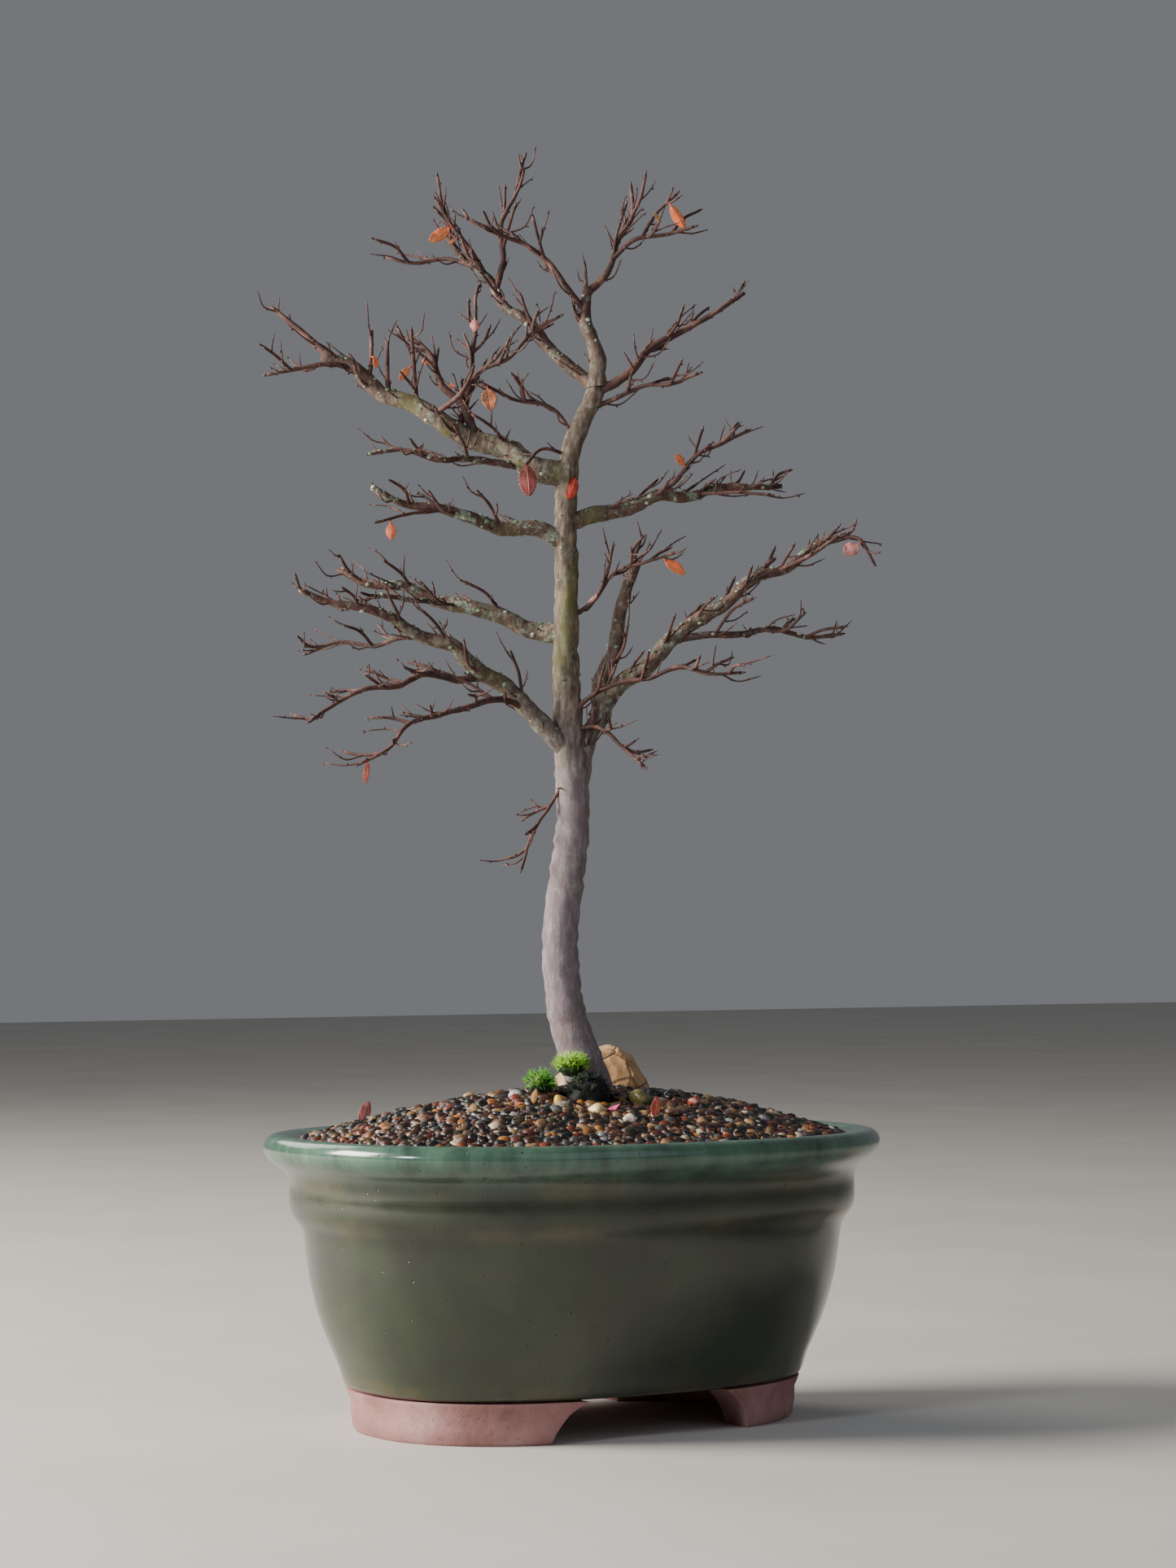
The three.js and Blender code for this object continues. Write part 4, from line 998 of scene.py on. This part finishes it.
def bud_template():
    """A pointed bud of twenty faces, standing on its foot along +Z, one millimetre long."""
    maker = bmesh.new()
    bmesh.ops.create_icosphere(maker, subdivisions=1, radius=0.5)
    bmesh.ops.translate(maker, verts=maker.verts, vec=(0, 0, 0.4))
    for vert in maker.verts:
        squeeze = 1 - max(vert.co.z - 0.2, 0) * 0.7
        vert.co.x *= squeeze * 0.8
        vert.co.y *= squeeze * 0.8
    return from_bmesh(maker)


def standing(point, direction, size):
    """A matrix that stands a template at a point along a direction."""
    turn = direction.to_track_quat("Z", "Y").to_matrix().to_4x4()
    return PLANTING @ Matrix.Translation(point) @ turn @ Matrix.Diagonal((*size, 1))


def spur_limbs(places, rng):
    """Short side twigs at some of the buds."""
    spurs = []
    for point, out, ahead, girth in places:
        if rng.random() > SPUR_SHARE or girth < 0.34:
            continue
        length = rng.uniform(1.6, 5.5)
        heading = (out * 0.9 + ahead * 0.8 + Vector((0, 0, 0.25))).normalized()
        elbow = point + heading * length * 0.5
        tip = elbow + (heading + Vector((rng.uniform(-0.3, 0.3), rng.uniform(-0.3, 0.3),
                                         0.35))) * length * 0.5
        path = smooth_path([point, elbow, tip], 1.6)
        thick = min(girth * 0.85, rng.uniform(0.3, 0.5))
        spurs.append((path, [thick * (1 - 0.35 * i / (len(path) - 1)) for i in range(len(path))]))
    return spurs


SPUR_SHARE = 0.24


def flake_places(grown, rng):
    """Where lichen grows: scattered over the limbs that carry it, thickest on their upper side."""
    places = []
    for name, share in LICHENED.items():
        path, girths = grown[name]
        for number in range(1, len(path)):
            for _ in range(4):
                if rng.random() > share * 0.6 or (name == "trunk" and path[number].z < 120):
                    continue
                ahead = (path[number] - path[number - 1]).normalized()
                out = Matrix.Rotation(rng.uniform(0, math.tau), 3,
                                      ahead) @ ahead.orthogonal().normalized()
                if out.z < rng.uniform(-1.2, 0.6):
                    continue
                point = path[number].lerp(path[number - 1], rng.random()) + out * girths[number]
                size = rng.uniform(0.35, 1.1)
                places.append(standing(point, out, (size, size * rng.uniform(0.5, 1), size * 0.5)))
    return places


def flake_template():
    """A crumpled scale of twenty faces."""
    maker = bmesh.new()
    bmesh.ops.create_icosphere(maker, subdivisions=1, radius=1)
    for vert in maker.verts:
        vert.co *= 1 + noise.noise(vert.co * 2.5) * 0.6
    return from_bmesh(maker)


# ------------------------------------------------------------------ leaves

LEAF_LOOKS = {
    "orange": ("#ee5f2a", "#c43a1e", "#ffb070"),
    "red": ("#c8332b", "#8c1f1e", "#f08a5a"),
    "brown": ("#9c5230", "#6a2f20", "#d69a68"),
    "pink": ("#dc8a84", "#b04a4a", "#f4c0ac"),
    "dry": ("#b07c3c", "#7c4a26", "#dcb070"),
    "dark": ("#74262a", "#4a1818", "#b86a50"),
    "magenta": ("#d63a78", "#a02458", "#f090b0"),
}
LEAF_COLOURS = {
    "leaf_high_left": "orange", "leaf_high_left_small": "brown", "leaf_high_right": "orange",
    "leaf_high_right_dry": "dry", "leaf_pink": "pink", "leaf_crown_left": "orange",
    "leaf_crown_far_left": "orange", "leaf_back_a": "orange", "leaf_back_b": "orange",
    "leaf_brown": "brown",
    "leaf_large_red": "dark", "leaf_trunk_red": "red", "leaf_right_up": "orange",
    "leaf_right_mid": "orange",
    "leaf_front_pink": "pink", "leaf_left_orange": "orange", "leaf_far_right": "pink",
    "leaf_low_left": "red",
    "fallen_leaf_dark": "dark", "fallen_leaf_pink": "magenta", "fallen_leaf_red": "red",
    "fallen_leaf_orange": "dry", "fallen_leaf_brown": "brown",
}
LEAF_ROWS = 40
LEAF_COLUMNS = 10
LEAF_TEETH = 8


def plate_frame(node):
    """Where a leaf's CAD plate lies: its stalk end, its direction, its face, its length and its width."""
    corners = {tuple(round(c, 7) for c in vert.co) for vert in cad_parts[node].data.vertices}
    points = [Vector(corner) for corner in corners]
    ends = max(((one, two) for one in points for two in points),
               key=lambda pair: (pair[0] - pair[1]).length)
    near = [sum((point - end).length < 0.0011 for point in points) for end in ends]
    base, tip = ends if near[0] >= near[1] else ends[::-1]
    largest = max(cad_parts[node].data.polygons, key=lambda face: face.area)
    facing = largest.normal.copy()
    along = (tip - base) - facing * (tip - base).dot(facing)
    length = along.length
    along.normalize()
    across = facing.cross(along)
    reach = [point.dot(across) for point in points]
    middle = base + across * ((max(reach) + min(reach)) / 2 - base.dot(across))
    return middle, along, across, facing, length, max(reach) - min(reach)


def blade_half_width(along):
    """An elm blade's half width at a share of its length: round near the stalk, pointed at the tip."""
    swell = max(math.sin(math.pi * along ** 0.9), 0)
    return swell ** 0.55 * (1 - 0.12 * along)


def leaf_blade(node, rng):
    """A toothed elm blade in the place of its plate, folded along its midrib and curled."""
    base, along, across, facing, length, width = plate_frame(node)
    maker = bmesh.new()
    maker.loops.layers.uv.new("blade")
    bmesh.ops.create_grid(maker, x_segments=LEAF_ROWS, y_segments=LEAF_COLUMNS, size=0.5, calc_uvs=True)
    fold = rng.uniform(0.12, 0.4)
    curl = rng.uniform(-0.22, 0.28)
    roll = rng.uniform(-0.25, 0.25)
    for vert in maker.verts:
        far, side = vert.co.x + 0.5, vert.co.y * 2
        tooth = abs((far * LEAF_TEETH + abs(side) * 0.4) % 1 - 0.5)
        edge = 1 + 0.28 * (tooth - 0.3) * abs(side) ** 5
        half = blade_half_width(far) * width / 2 * edge
        lean = 0.04 * length * abs(side) ** 2
        lift = fold * half * abs(side) - curl * length * (far - 0.35) ** 2
        lift += 0.05 * width * math.sin(far * 11 + side * 2) * abs(side) + roll * side * half * far
        place = base + along * (0.07 + 0.93 * far) * length + along * lean * (1 - far)
        vert.co = place + across * side * half + facing * lift
    bmesh.ops.remove_doubles(maker, verts=maker.verts, dist=1e-5)
    bmesh.ops.recalc_face_normals(maker, faces=maker.faces)
    return maker, base, along


def stalk(base, along, foot, length):
    """A thin bowed stalk from the wood to just inside the blade."""
    start = base + along * length * 0.12
    middle = (start + foot) / 2 + along * 0.0002
    path = smooth_path([point / MM for point in (foot, middle, start)], 0.6)
    maker = swept(path, [0.26, *[0.2] * (len(path) - 1)], 6, False)
    bmesh.ops.transform(maker, matrix=TO_METRES, verts=maker.verts)
    return maker


# ------------------------------------------------------------------ ground

GRAVEL_COLOURS = [
    ("#4a2c1f", 17), ("#6b4530", 12), ("#261a16", 16), ("#131212", 15), ("#8a6b48", 9), ("#b0905f", 4),
    ("#5a2a1e", 10), ("#8a3e28", 4), ("#4d4e50", 9), ("#86868a", 4), ("#c9bda6", 2), ("#e0d3ba", 1),
    ("#454028", 6), ("#33363a", 8), ("#b0702e", 4), ("#38201a", 10),
]
SEATED_PIECES = ["feature_stone"] + [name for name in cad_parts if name.startswith(("pebble",
        "moss"))]


def pebble_template(rng, squash):
    """A river stone of 24 faces, half a millimetre in half size."""
    maker = bmesh.new()
    bmesh.ops.create_cube(maker, size=1)
    bmesh.ops.subdivide_edges(maker, edges=maker.edges, cuts=1, use_grid_fill=True)
    seed = Vector((rng.uniform(0, 50), rng.uniform(0, 50), 0))
    for vert in maker.verts:
        round_place = vert.co.normalized() * 0.56
        vert.co = vert.co.lerp(round_place, rng.uniform(0.55, 0.85))
        vert.co *= 1 + 0.28 * noise.noise(vert.co * 1.7 + seed)
        vert.co.z *= squash
    return from_bmesh(maker)


def ground_places(rng, count, spacing, sizes):
    """Places on the mound for stones: seeded throws that keep their distance from each other and from
    the trunk, the large stone, the pebbles and the moss."""
    ground = cad_surface("gravel_bed")
    seated = cad_surface("tree", *SEATED_PIECES)
    low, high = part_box("gravel_bed")
    cell = spacing * MM
    taken, places = {}, []
    for _ in range(count):
        across, depth = rng.uniform(low.x, high.x), rng.uniform(low.y, high.y)
        hit, normal, _, _ = ground.ray_cast(Vector((across, depth, 0.12)), Vector((0, 0, -1)))
        if hit is None or normal.z < 0.5 or hit.z < POT_HEIGHT * MM - 0.004:
            continue
        size = rng.uniform(*sizes)
        if seated.find_nearest(hit, size * 0.42 * MM)[0] is not None:
            continue
        key = (int(across // cell), int(depth // cell))
        around = [taken.get((key[0] + i, key[1] + j)) for i in (-1, 0, 1) for j in (-1, 0, 1)]
        if any(other is not None and (other - hit).length < cell for other in around):
            continue
        taken[key] = hit
        places.append((hit, normal, size))
    return places


def strewn(places, rng, templates, sink):
    """The stones of some places as one mesh, lying about flat, each with its own colour."""
    weights = [weight for _, weight in GRAVEL_COLOURS]
    palette = [linear(colour) for colour, _ in GRAVEL_COLOURS]
    groups, colours = [], []
    for hit, normal, size in places:
        tilt = Vector((normal.x + rng.uniform(-0.5, 0.5), normal.y + rng.uniform(-0.5, 0.5), 1))
        turn = tilt.to_track_quat("Z", "Y").to_matrix().to_4x4() @ Matrix.Rotation(rng.uniform(0,
                math.tau), 4, "Z")
        stretch = Matrix.Diagonal((rng.uniform(0.85, 1.25), rng.uniform(0.7, 1), rng.uniform(0.6, 0.85),
                                   1))
        lift = Matrix.Translation(hit + Vector((0, 0, size * sink * MM)))
        groups.append((rng.choice(templates), lift @ turn @ stretch @ Matrix.Scale(size * MM, 4)))
        shade = rng.uniform(0.55, 1.2)
        colour = rng.choices(palette, weights)[0]
        colours.append([channel * shade for channel in colour[:3]] + [1.0])
    whole = bmesh.new()
    for template, place in groups:
        mesh = template.copy()
        mesh.transform(place)
        whole.from_mesh(mesh)
        bpy.data.meshes.remove(mesh)
    mesh = from_bmesh(whole)
    colour_copies(mesh, colours)
    return mesh


def grit_bed():
    """The ground between the stones: the gravel's own mound, finely divided and crumbled."""
    maker = merged_copy("gravel_bed")
    for _ in range(2):
        long_edges = [edge for edge in maker.edges if edge.calc_length() > 0.004]
        bmesh.ops.subdivide_edges(maker, edges=long_edges, cuts=1)
        bmesh.ops.triangulate(maker, faces=[face for face in maker.faces if len(face.verts) > 3])
    for vert in maker.verts:
        vert.co.z += (noise.noise(vert.co * 400) - 1.0) * 0.0005
    return maker


# ------------------------------------------------------------------ stones and moss

def river_pebble(node, seed):
    """A smooth stone that fills its CAD pebble's box."""
    low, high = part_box(node)
    maker = bmesh.new()
    bmesh.ops.create_icosphere(maker, subdivisions=4, radius=1)
    for vert in maker.verts:
        lump = noise.noise(vert.co * 0.9 + Vector((seed, 0, 0))) * 0.22
        fine = noise.noise(vert.co * 3 + Vector((0, seed, 0))) * 0.03
        vert.co *= 0.9 + lump + fine
    middle, half = (low + high) / 2, (high - low) / 2
    bmesh.ops.scale(maker, verts=maker.verts, vec=half)
    bmesh.ops.translate(maker, verts=maker.verts, vec=middle)
    return maker


def split_stone():
    """The large stone: its flat faces kept, its arrises worn, its faces pitted."""
    maker = merged_copy("feature_stone")
    bmesh.ops.dissolve_limit(maker, angle_limit=math.radians(4), verts=maker.verts, edges=maker.edges)
    bmesh.ops.bevel(maker, geom=maker.edges[:], offset=0.0011, offset_type="OFFSET", affect="EDGES",
                    segments=2, profile=0.5, material=-1, clamp_overlap=True)
    bmesh.ops.triangulate(maker, faces=maker.faces)
    for _ in range(3):
        bmesh.ops.subdivide_edges(maker, edges=[e for e in maker.edges if e.calc_length() > 0.0009],
                                  cuts=1)
        bmesh.ops.triangulate(maker, faces=[face for face in maker.faces if len(face.verts) > 3])
    maker.normal_update()
    shifts = []
    for vert in maker.verts:
        wave = noise.noise(vert.co * 130) * 0.0007
        pits = noise.fractal(vert.co * 420, 1.0, 2.0, 4) * 0.00028
        shifts.append(vert.normal * (wave + pits - 0.0003))
    for vert, shift in zip(maker.verts, shifts):
        vert.co += shift
    return maker


def blade_template():
    """One moss leaf: a thin curved blade of a few faces along +Z, one millimetre long."""
    maker = bmesh.new()
    bmesh.ops.create_cone(maker, cap_ends=False, segments=3, radius1=0.11, radius2=0.01, depth=1,
                          matrix=Matrix.Translation((0, 0, 0.5)))
    bmesh.ops.subdivide_edges(maker, edges=[e for e in maker.edges
                                            if abs(e.verts[0].co.z - e.verts[1].co.z) > 0.5],
                              cuts=2)
    for vert in maker.verts:
        vert.co.x += 0.28 * vert.co.z ** 2
        vert.co.y *= 0.5 if vert.co.z > 0.1 else 1
    return from_bmesh(maker)


def moss_cushion(node, seed):
    """The cushion under the moss leaves, a lumpy dome in its CAD node's place."""
    low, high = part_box(node)
    maker = bmesh.new()
    bmesh.ops.create_icosphere(maker, subdivisions=4, radius=1)
    for vert in maker.verts:
        vert.co *= 0.8 + noise.noise(vert.co * 2.2 + Vector((seed, 0, 0))) * 0.2
    bmesh.ops.scale(maker, verts=maker.verts, vec=(high - low) / 2)
    bmesh.ops.translate(maker, verts=maker.verts, vec=(low + high) / 2)
    return maker


def tufts(node, rng, count, leaf_length, palette):
    """Star tufts of moss leaves all over a cushion: their places and colours."""
    low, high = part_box(node)
    middle, half = (low + high) / 2, (high - low) / 2
    places, colours = [], []
    for _ in range(count):
        way = Vector((rng.gauss(0, 1), rng.gauss(0, 1), abs(rng.gauss(0, 1)) + 0.1)).normalized()
        heart = middle + Vector((way.x * half.x, way.y * half.y, way.z * half.z)) * 0.8
        tone = rng.choice(palette)
        for _ in range(rng.randint(10, 15)):
            tilt = (way + Vector((rng.gauss(0, 0.6), rng.gauss(0, 0.6), rng.gauss(0, 0.5)))).normalized()
            turn = tilt.to_track_quat("Z", "Y").to_matrix().to_4x4()
            turn = turn @ Matrix.Rotation(rng.uniform(0, math.tau), 4, "Z")
            size = leaf_length * rng.uniform(0.65, 1.1) * MM
            places.append(Matrix.Translation(heart) @ turn @ Matrix.Scale(size, 4))
            shade = rng.uniform(0.55, 1.2)
            colours.append([channel * shade for channel in linear(tone)[:3]] + [1.0])
    return places, colours


# ------------------------------------------------------------------ what a user sets

class BonsaiPotSettings(bpy.types.PropertyGroup):
    """The pot's colours"""
    glaze_body: bpy.props.StringProperty(name="Glaze", description="Main glaze colour, sRGB hex",
                                         default="#1d2513")
    glaze_shade: bpy.props.StringProperty(name="Dark glaze",
                                          description="Where the glaze pools, sRGB hex",
                                          default="#10120d")
    glaze_lip: bpy.props.StringProperty(name="Lip glaze", description="Thick glaze on the lip, sRGB hex",
                                        default="#3d5a4a")
    clay: bpy.props.StringProperty(name="Clay", description="Unglazed clay, sRGB hex", default="#946c68")


class BonsaiTreeSettings(bpy.types.PropertyGroup):
    """The tree's colours and buds"""
    bark: bpy.props.StringProperty(name="Bark", description="Old bark, sRGB hex", default="#6f6266")
    twig: bpy.props.StringProperty(name="Twig", description="Young bark, sRGB hex", default="#4a2c26")
    bud_spacing: bpy.props.FloatProperty(name="Bud spacing",
                                         description="Distance between buds, in millimetres",
                                         default=6.5, min=2, max=30)
    seed: bpy.props.IntProperty(name="Seed", description="Picks another set of buds and stones",
                                default=7)


class BonsaiGroundSettings(bpy.types.PropertyGroup):
    """The gravel and moss"""
    stone_spacing: bpy.props.FloatProperty(name="Stone spacing",
                                           description="Between stones, in millimetres",
                                           default=2.75, min=1, max=10)
    stone_size: bpy.props.FloatProperty(name="Stone size",
                                        description="Of a common stone, in millimetres",
                                        default=3.9, min=1, max=10)
    moss_leaf: bpy.props.FloatProperty(name="Moss leaf",
                                       description="Length of a moss leaf, in millimetres",
                                       default=3.0, min=1, max=10)


# ------------------------------------------------------------------ operators

class BONSAI_OT_pot(bpy.types.Operator):
    """The glazed pot with its carved clay feet"""
    bl_idname = "bonsai.pot"
    bl_label = "Pot"

    def execute(self, context):
        maker = gathered([thrown_body(), carved_feet()])
        glaze_or_clay(maker)
        bmesh.ops.transform(maker, matrix=TO_METRES, verts=maker.verts)
        piece_from("glazed_pot", maker, [iron_green_glaze(), raw_stoneware()], ["pot"])
        return {"FINISHED"}


class BONSAI_OT_drains(bpy.types.Operator):
    """The drain screens and the wire staples that hold them"""
    bl_idname = "bonsai.drains"
    bl_label = "Drains"

    def execute(self, context):
        polythene, copper, earth = black_polythene(), annealed_copper(), damp_grit("potting_soil",
                "#16100c", "#3a2a20")
        looks = {"drain_screen": polythene, "screen_wire": copper, "soil": earth}
        for name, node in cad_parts.items():
            for start, look in looks.items():
                if name.startswith(start):
                    node.data.materials.clear()
                    node.data.materials.append(look)
        return {"FINISHED"}


class BONSAI_OT_tree(bpy.types.Operator):
    """The trunk, limbs and twigs with their bark, buds and cut ends"""
    bl_idname = "bonsai.tree"
    bl_label = "Tree"

    def execute(self, context):
        settings = context.scene.bonsai_tree
        rng = random.Random(settings.seed)
        bark, pale, scales = elm_bark(), cut_wood(), bud_scales()
        grown = grown_limbs()
        thick, thin = [], []
        for number, (name, (path, girths)) in enumerate(grown.items()):
            limb = swept_limb(name, path, girths, number * 1.7, number > 0)
            (thick if max(girths) > 1.9 else thin).append(limb)
        buds = twig_places(grown, rng, settings.bud_spacing)
        spurs = spur_limbs(buds, rng)
        for number, (path, girths) in enumerate(spurs):
            maker = swept(path, girths, 6, False)
            barked(maker, number * 0.9, 0.1)
            thin.append(maker)
        for name, makers in (("trunk_and_limbs", thick), ("twigs", thin)):
            whole = gathered(makers)
            bmesh.ops.transform(whole, matrix=PLANTING, verts=whole.verts)
            piece_from(name, whole, [bark, pale], ["tree"])
        places = [standing(point + out * girth * 0.7, (out * 0.7 + ahead).normalized(),
                           (0.85, 0.85, rng.uniform(0.9, 1.5))) for point, out, ahead, girth in buds]
        tips = [(path, girths) for path, girths in [*grown.values(), *spurs] if girths[-1] <= CUT_GIRTH]
        places += [standing(path[-1] - (path[-1] - path[-2]).normalized() * 0.2, path[-1] - path[-2],
                            (1.2 * girths[-1] / 0.5, 1.2 * girths[-1] / 0.5, 2.0)) for path,
                            girths in tips]
        piece_of("buds", copies(bud_template(), places), [scales])
        piece_of("lichen", copies(flake_template(), flake_places(grown, rng)), [lichen_flakes()])
        return {"FINISHED"}


class BONSAI_OT_leaves(bpy.types.Operator):
    """The last leaves on the tree and those that have dropped"""
    bl_idname = "bonsai.leaves"
    bl_label = "Leaves"

    def execute(self, context):
        rng = random.Random(21)
        looks = {tone: autumn_leaf(f"autumn_leaf_{tone}", *colours) for tone,
                 colours in LEAF_LOOKS.items()}
        wood = cad_surface("tree")
        for node, tone in LEAF_COLOURS.items():
            maker, base, along = leaf_blade(node, rng)
            parts = [maker]
            length = plate_frame(node)[4]
            if not node.startswith("fallen"):
                foot = wood.find_nearest(base)[0]
                parts.append(stalk(base, along, foot + (foot - base) * 0.3, length))
            blade = piece_from(node + "_blade", gathered(parts), [looks[tone]], [node])
            wall = blade.modifiers.new("thickness", "SOLIDIFY")
            wall.thickness = 0.00016
            wall.offset = 0
        return {"FINISHED"}


class BONSAI_OT_ground(bpy.types.Operator):
    """The grit and the gravel stones of the mound"""
    bl_idname = "bonsai.ground"
    bl_label = "Ground"

    def execute(self, context):
        settings = context.scene.bonsai_ground
        rng = random.Random(context.scene.bonsai_tree.seed + 4)
        grit = damp_grit("potting_grit", "#120d0a", "#463226")
        piece_from("grit", grit_bed(), [grit], ["gravel_bed"])
        gravel = mixed_gravel()
        templates = [pebble_template(rng, squash) for squash in (1, 0.9, 0.8, 0.95, 0.85, 1, 0.75, 0.9)]
        common = settings.stone_size
        layers = [
            ("gravel_coarse", 16000, settings.stone_spacing * 1.12, (common * 0.9, common * 1.3), -0.16),
            ("gravel_common", 26000, settings.stone_spacing * 0.86, (common * 0.6, common * 0.9), -0.2),
            ("gravel_fine", 26000, settings.stone_spacing * 0.62, (common * 0.34, common * 0.55), -0.2),
        ]
        for name, throws, spacing, sizes, sink in layers:
            places = ground_places(rng, throws, spacing, sizes)
            piece_of(name, strewn(places, rng, templates, sink), [gravel])
        return {"FINISHED"}


class BONSAI_OT_stones(bpy.types.Operator):
    """The large stone and the pebbles that stand out of the gravel"""
    bl_idname = "bonsai.stones"
    bl_label = "Stones"

    def execute(self, context):
        piece_from("split_stone", split_stone(), [weathered_stone()], ["feature_stone"])
        colours = {
            "pebble_olive": "#6f6a3c", "pebble_yellow": "#d9b24a", "pebble_cream": "#e3c98e",
            "pebble_red": "#c8573c", "pebble_black": "#1f1d1d", "pebble_grey": "#a7a5a8",
            "pebble_quartz": "#d8cdb8", "pebble_brown": "#5a4334", "pebble_tan": "#a98762",
            "pebble_slate": "#4a4c50", "pebble_brick": "#9b4a35", "pebble_sand": "#c2a37a",
        }
        for number, (node, colour) in enumerate(colours.items()):
            look = polished_pebble(f"stream_stone_{node[7:]}", colour)
            piece_from(node + "_stone", river_pebble(node, number * 3.7), [look], [node])
        return {"FINISHED"}


class BONSAI_OT_moss(bpy.types.Operator):
    """The moss in front of the trunk"""
    bl_idname = "bonsai.moss"
    bl_label = "Moss"

    def execute(self, context):
        rng = random.Random(33)
        leaf_length = context.scene.bonsai_ground.moss_leaf
        moss = living_moss()
        blade = blade_template()
        kinds = [
            ("moss_bright", 46, 1.0, ["#9ccf2f", "#86bf2c", "#b4dc4c", "#5f9f22"], "#2c4a12"),
            ("moss_green", 40, 1.0, ["#3f9a1e", "#58ac2a", "#2f7a1a", "#86b83a"], "#1a3a10"),
            # moss_dark's near-black leaf greens and its cushion colour are painted shade, because the
            # mound in front of the trunk lies in shadow.
            ("moss_dark", 46, 0.8, ["#16221a", "#22301c", "#0f1812", "#2f4420"], "#0c120d"),
        ]
        for number, (node, count, scale, palette, heart) in enumerate(kinds):
            places, colours = tufts(node, rng, count, leaf_length * scale, palette)
            mesh = copies(blade, places)
            colour_copies(mesh, colours)
            piece_of(node + "_leaves", mesh, [moss], [node])
            cushion = damp_grit(node + "_cushion_fibre", "#070a06", heart)
            piece_from(node + "_cushion", moss_cushion(node, number * 5.1), [cushion])
        return {"FINISHED"}


class BONSAI_OT_stage(bpy.types.Operator):
    """The floor, the soft lights and the camera"""
    bl_idname = "bonsai.stage"
    bl_label = "Stage"

    def execute(self, context):
        maker = bmesh.new()
        bmesh.ops.create_grid(maker, x_segments=1, y_segments=1, size=4)
        floor = bpy.data.objects.new("floor", from_bmesh(maker))
        floor.data.materials.append(pale_plaster())
        context.scene.collection.objects.link(floor)
        soft_light("window", (-1.3, 0.55, 0.75), 0.7, 80, "#fff8ee")
        soft_light("strip", (-1.25, -0.35, 0.5), 0.2, 7, "#eaf2ff")
        soft_light("room", (0.2, -1.5, 0.9), 1.4, 4, "#e8eeff")
        soft_light("rim", (-0.3, 1.3, 1.0), 0.8, 9, "#fffaf2")
        world = bpy.data.worlds.new("studio")
        world.use_nodes = True
        sky = world.node_tree.nodes["Background"]
        sky.inputs["Color"].default_value = linear("#c9ccd2")
        sky.inputs["Strength"].default_value = 0.3
        context.scene.world = world
        eye = bpy.data.objects.new("camera", bpy.data.cameras.new("camera"))
        eye.data.lens = 86.68
        eye.data.sensor_width = 36
        eye.data.clip_start = 0.05
        eye.location = Vector((-655.9, -1032.1, 165.1)) * MM
        eye.rotation_euler = Vector((0.5388, 0.8418, 0.0328)).to_track_quat("-Z", "Y").to_euler()
        context.scene.collection.objects.link(eye)
        context.scene.camera = eye
        return {"FINISHED"}


def soft_light(name, place, size, power, colour):
    """A square soft light that looks at the tree's middle."""
    lamp = bpy.data.objects.new(name, bpy.data.lights.new(name, "AREA"))
    lamp.data.size = size
    lamp.data.energy = power
    lamp.data.color = linear(colour)[:3]
    lamp.location = place
    lamp.rotation_euler = (Vector((0, 0, 0.18)) - Vector(place)).to_track_quat("-Z", "Y").to_euler()
    bpy.context.scene.collection.objects.link(lamp)


class BONSAI_PT_panel(bpy.types.Panel):
    """The bonsai's settings and pieces"""
    bl_idname = "BONSAI_PT_panel"
    bl_label = "Bonsai"
    bl_space_type = "VIEW_3D"
    bl_region_type = "UI"
    bl_category = "Bonsai"

    def draw(self, context):
        for settings in (context.scene.bonsai_pot, context.scene.bonsai_tree,
                         context.scene.bonsai_ground):
            for name in settings.__annotations__:
                self.layout.prop(settings, name)
        for operator in OPERATORS:
            self.layout.operator(operator.bl_idname)


SETTINGS = {
    "bonsai_pot": BonsaiPotSettings, "bonsai_tree": BonsaiTreeSettings,
    "bonsai_ground": BonsaiGroundSettings,
}
OPERATORS = [
    BONSAI_OT_stage, BONSAI_OT_pot, BONSAI_OT_drains, BONSAI_OT_tree, BONSAI_OT_leaves, BONSAI_OT_ground,
    BONSAI_OT_stones, BONSAI_OT_moss,
]


def register():
    """Adds the settings, operators and panel."""
    for name, group in SETTINGS.items():
        bpy.utils.register_class(group)
        setattr(bpy.types.Scene, name, bpy.props.PointerProperty(type=group))
    for maker in [*OPERATORS, BONSAI_PT_panel]:
        bpy.utils.register_class(maker)


def unregister():
    """Takes them away again."""
    for maker in [BONSAI_PT_panel, *reversed(OPERATORS)]:
        bpy.utils.unregister_class(maker)
    for name, group in SETTINGS.items():
        delattr(bpy.types.Scene, name)
        bpy.utils.unregister_class(group)


def main():
    """Builds every piece."""
    register()
    for operator in OPERATORS:
        group, name = operator.bl_idname.split(".")
        getattr(getattr(bpy.ops, group), name)()


if __name__ == "__main__":
    main()
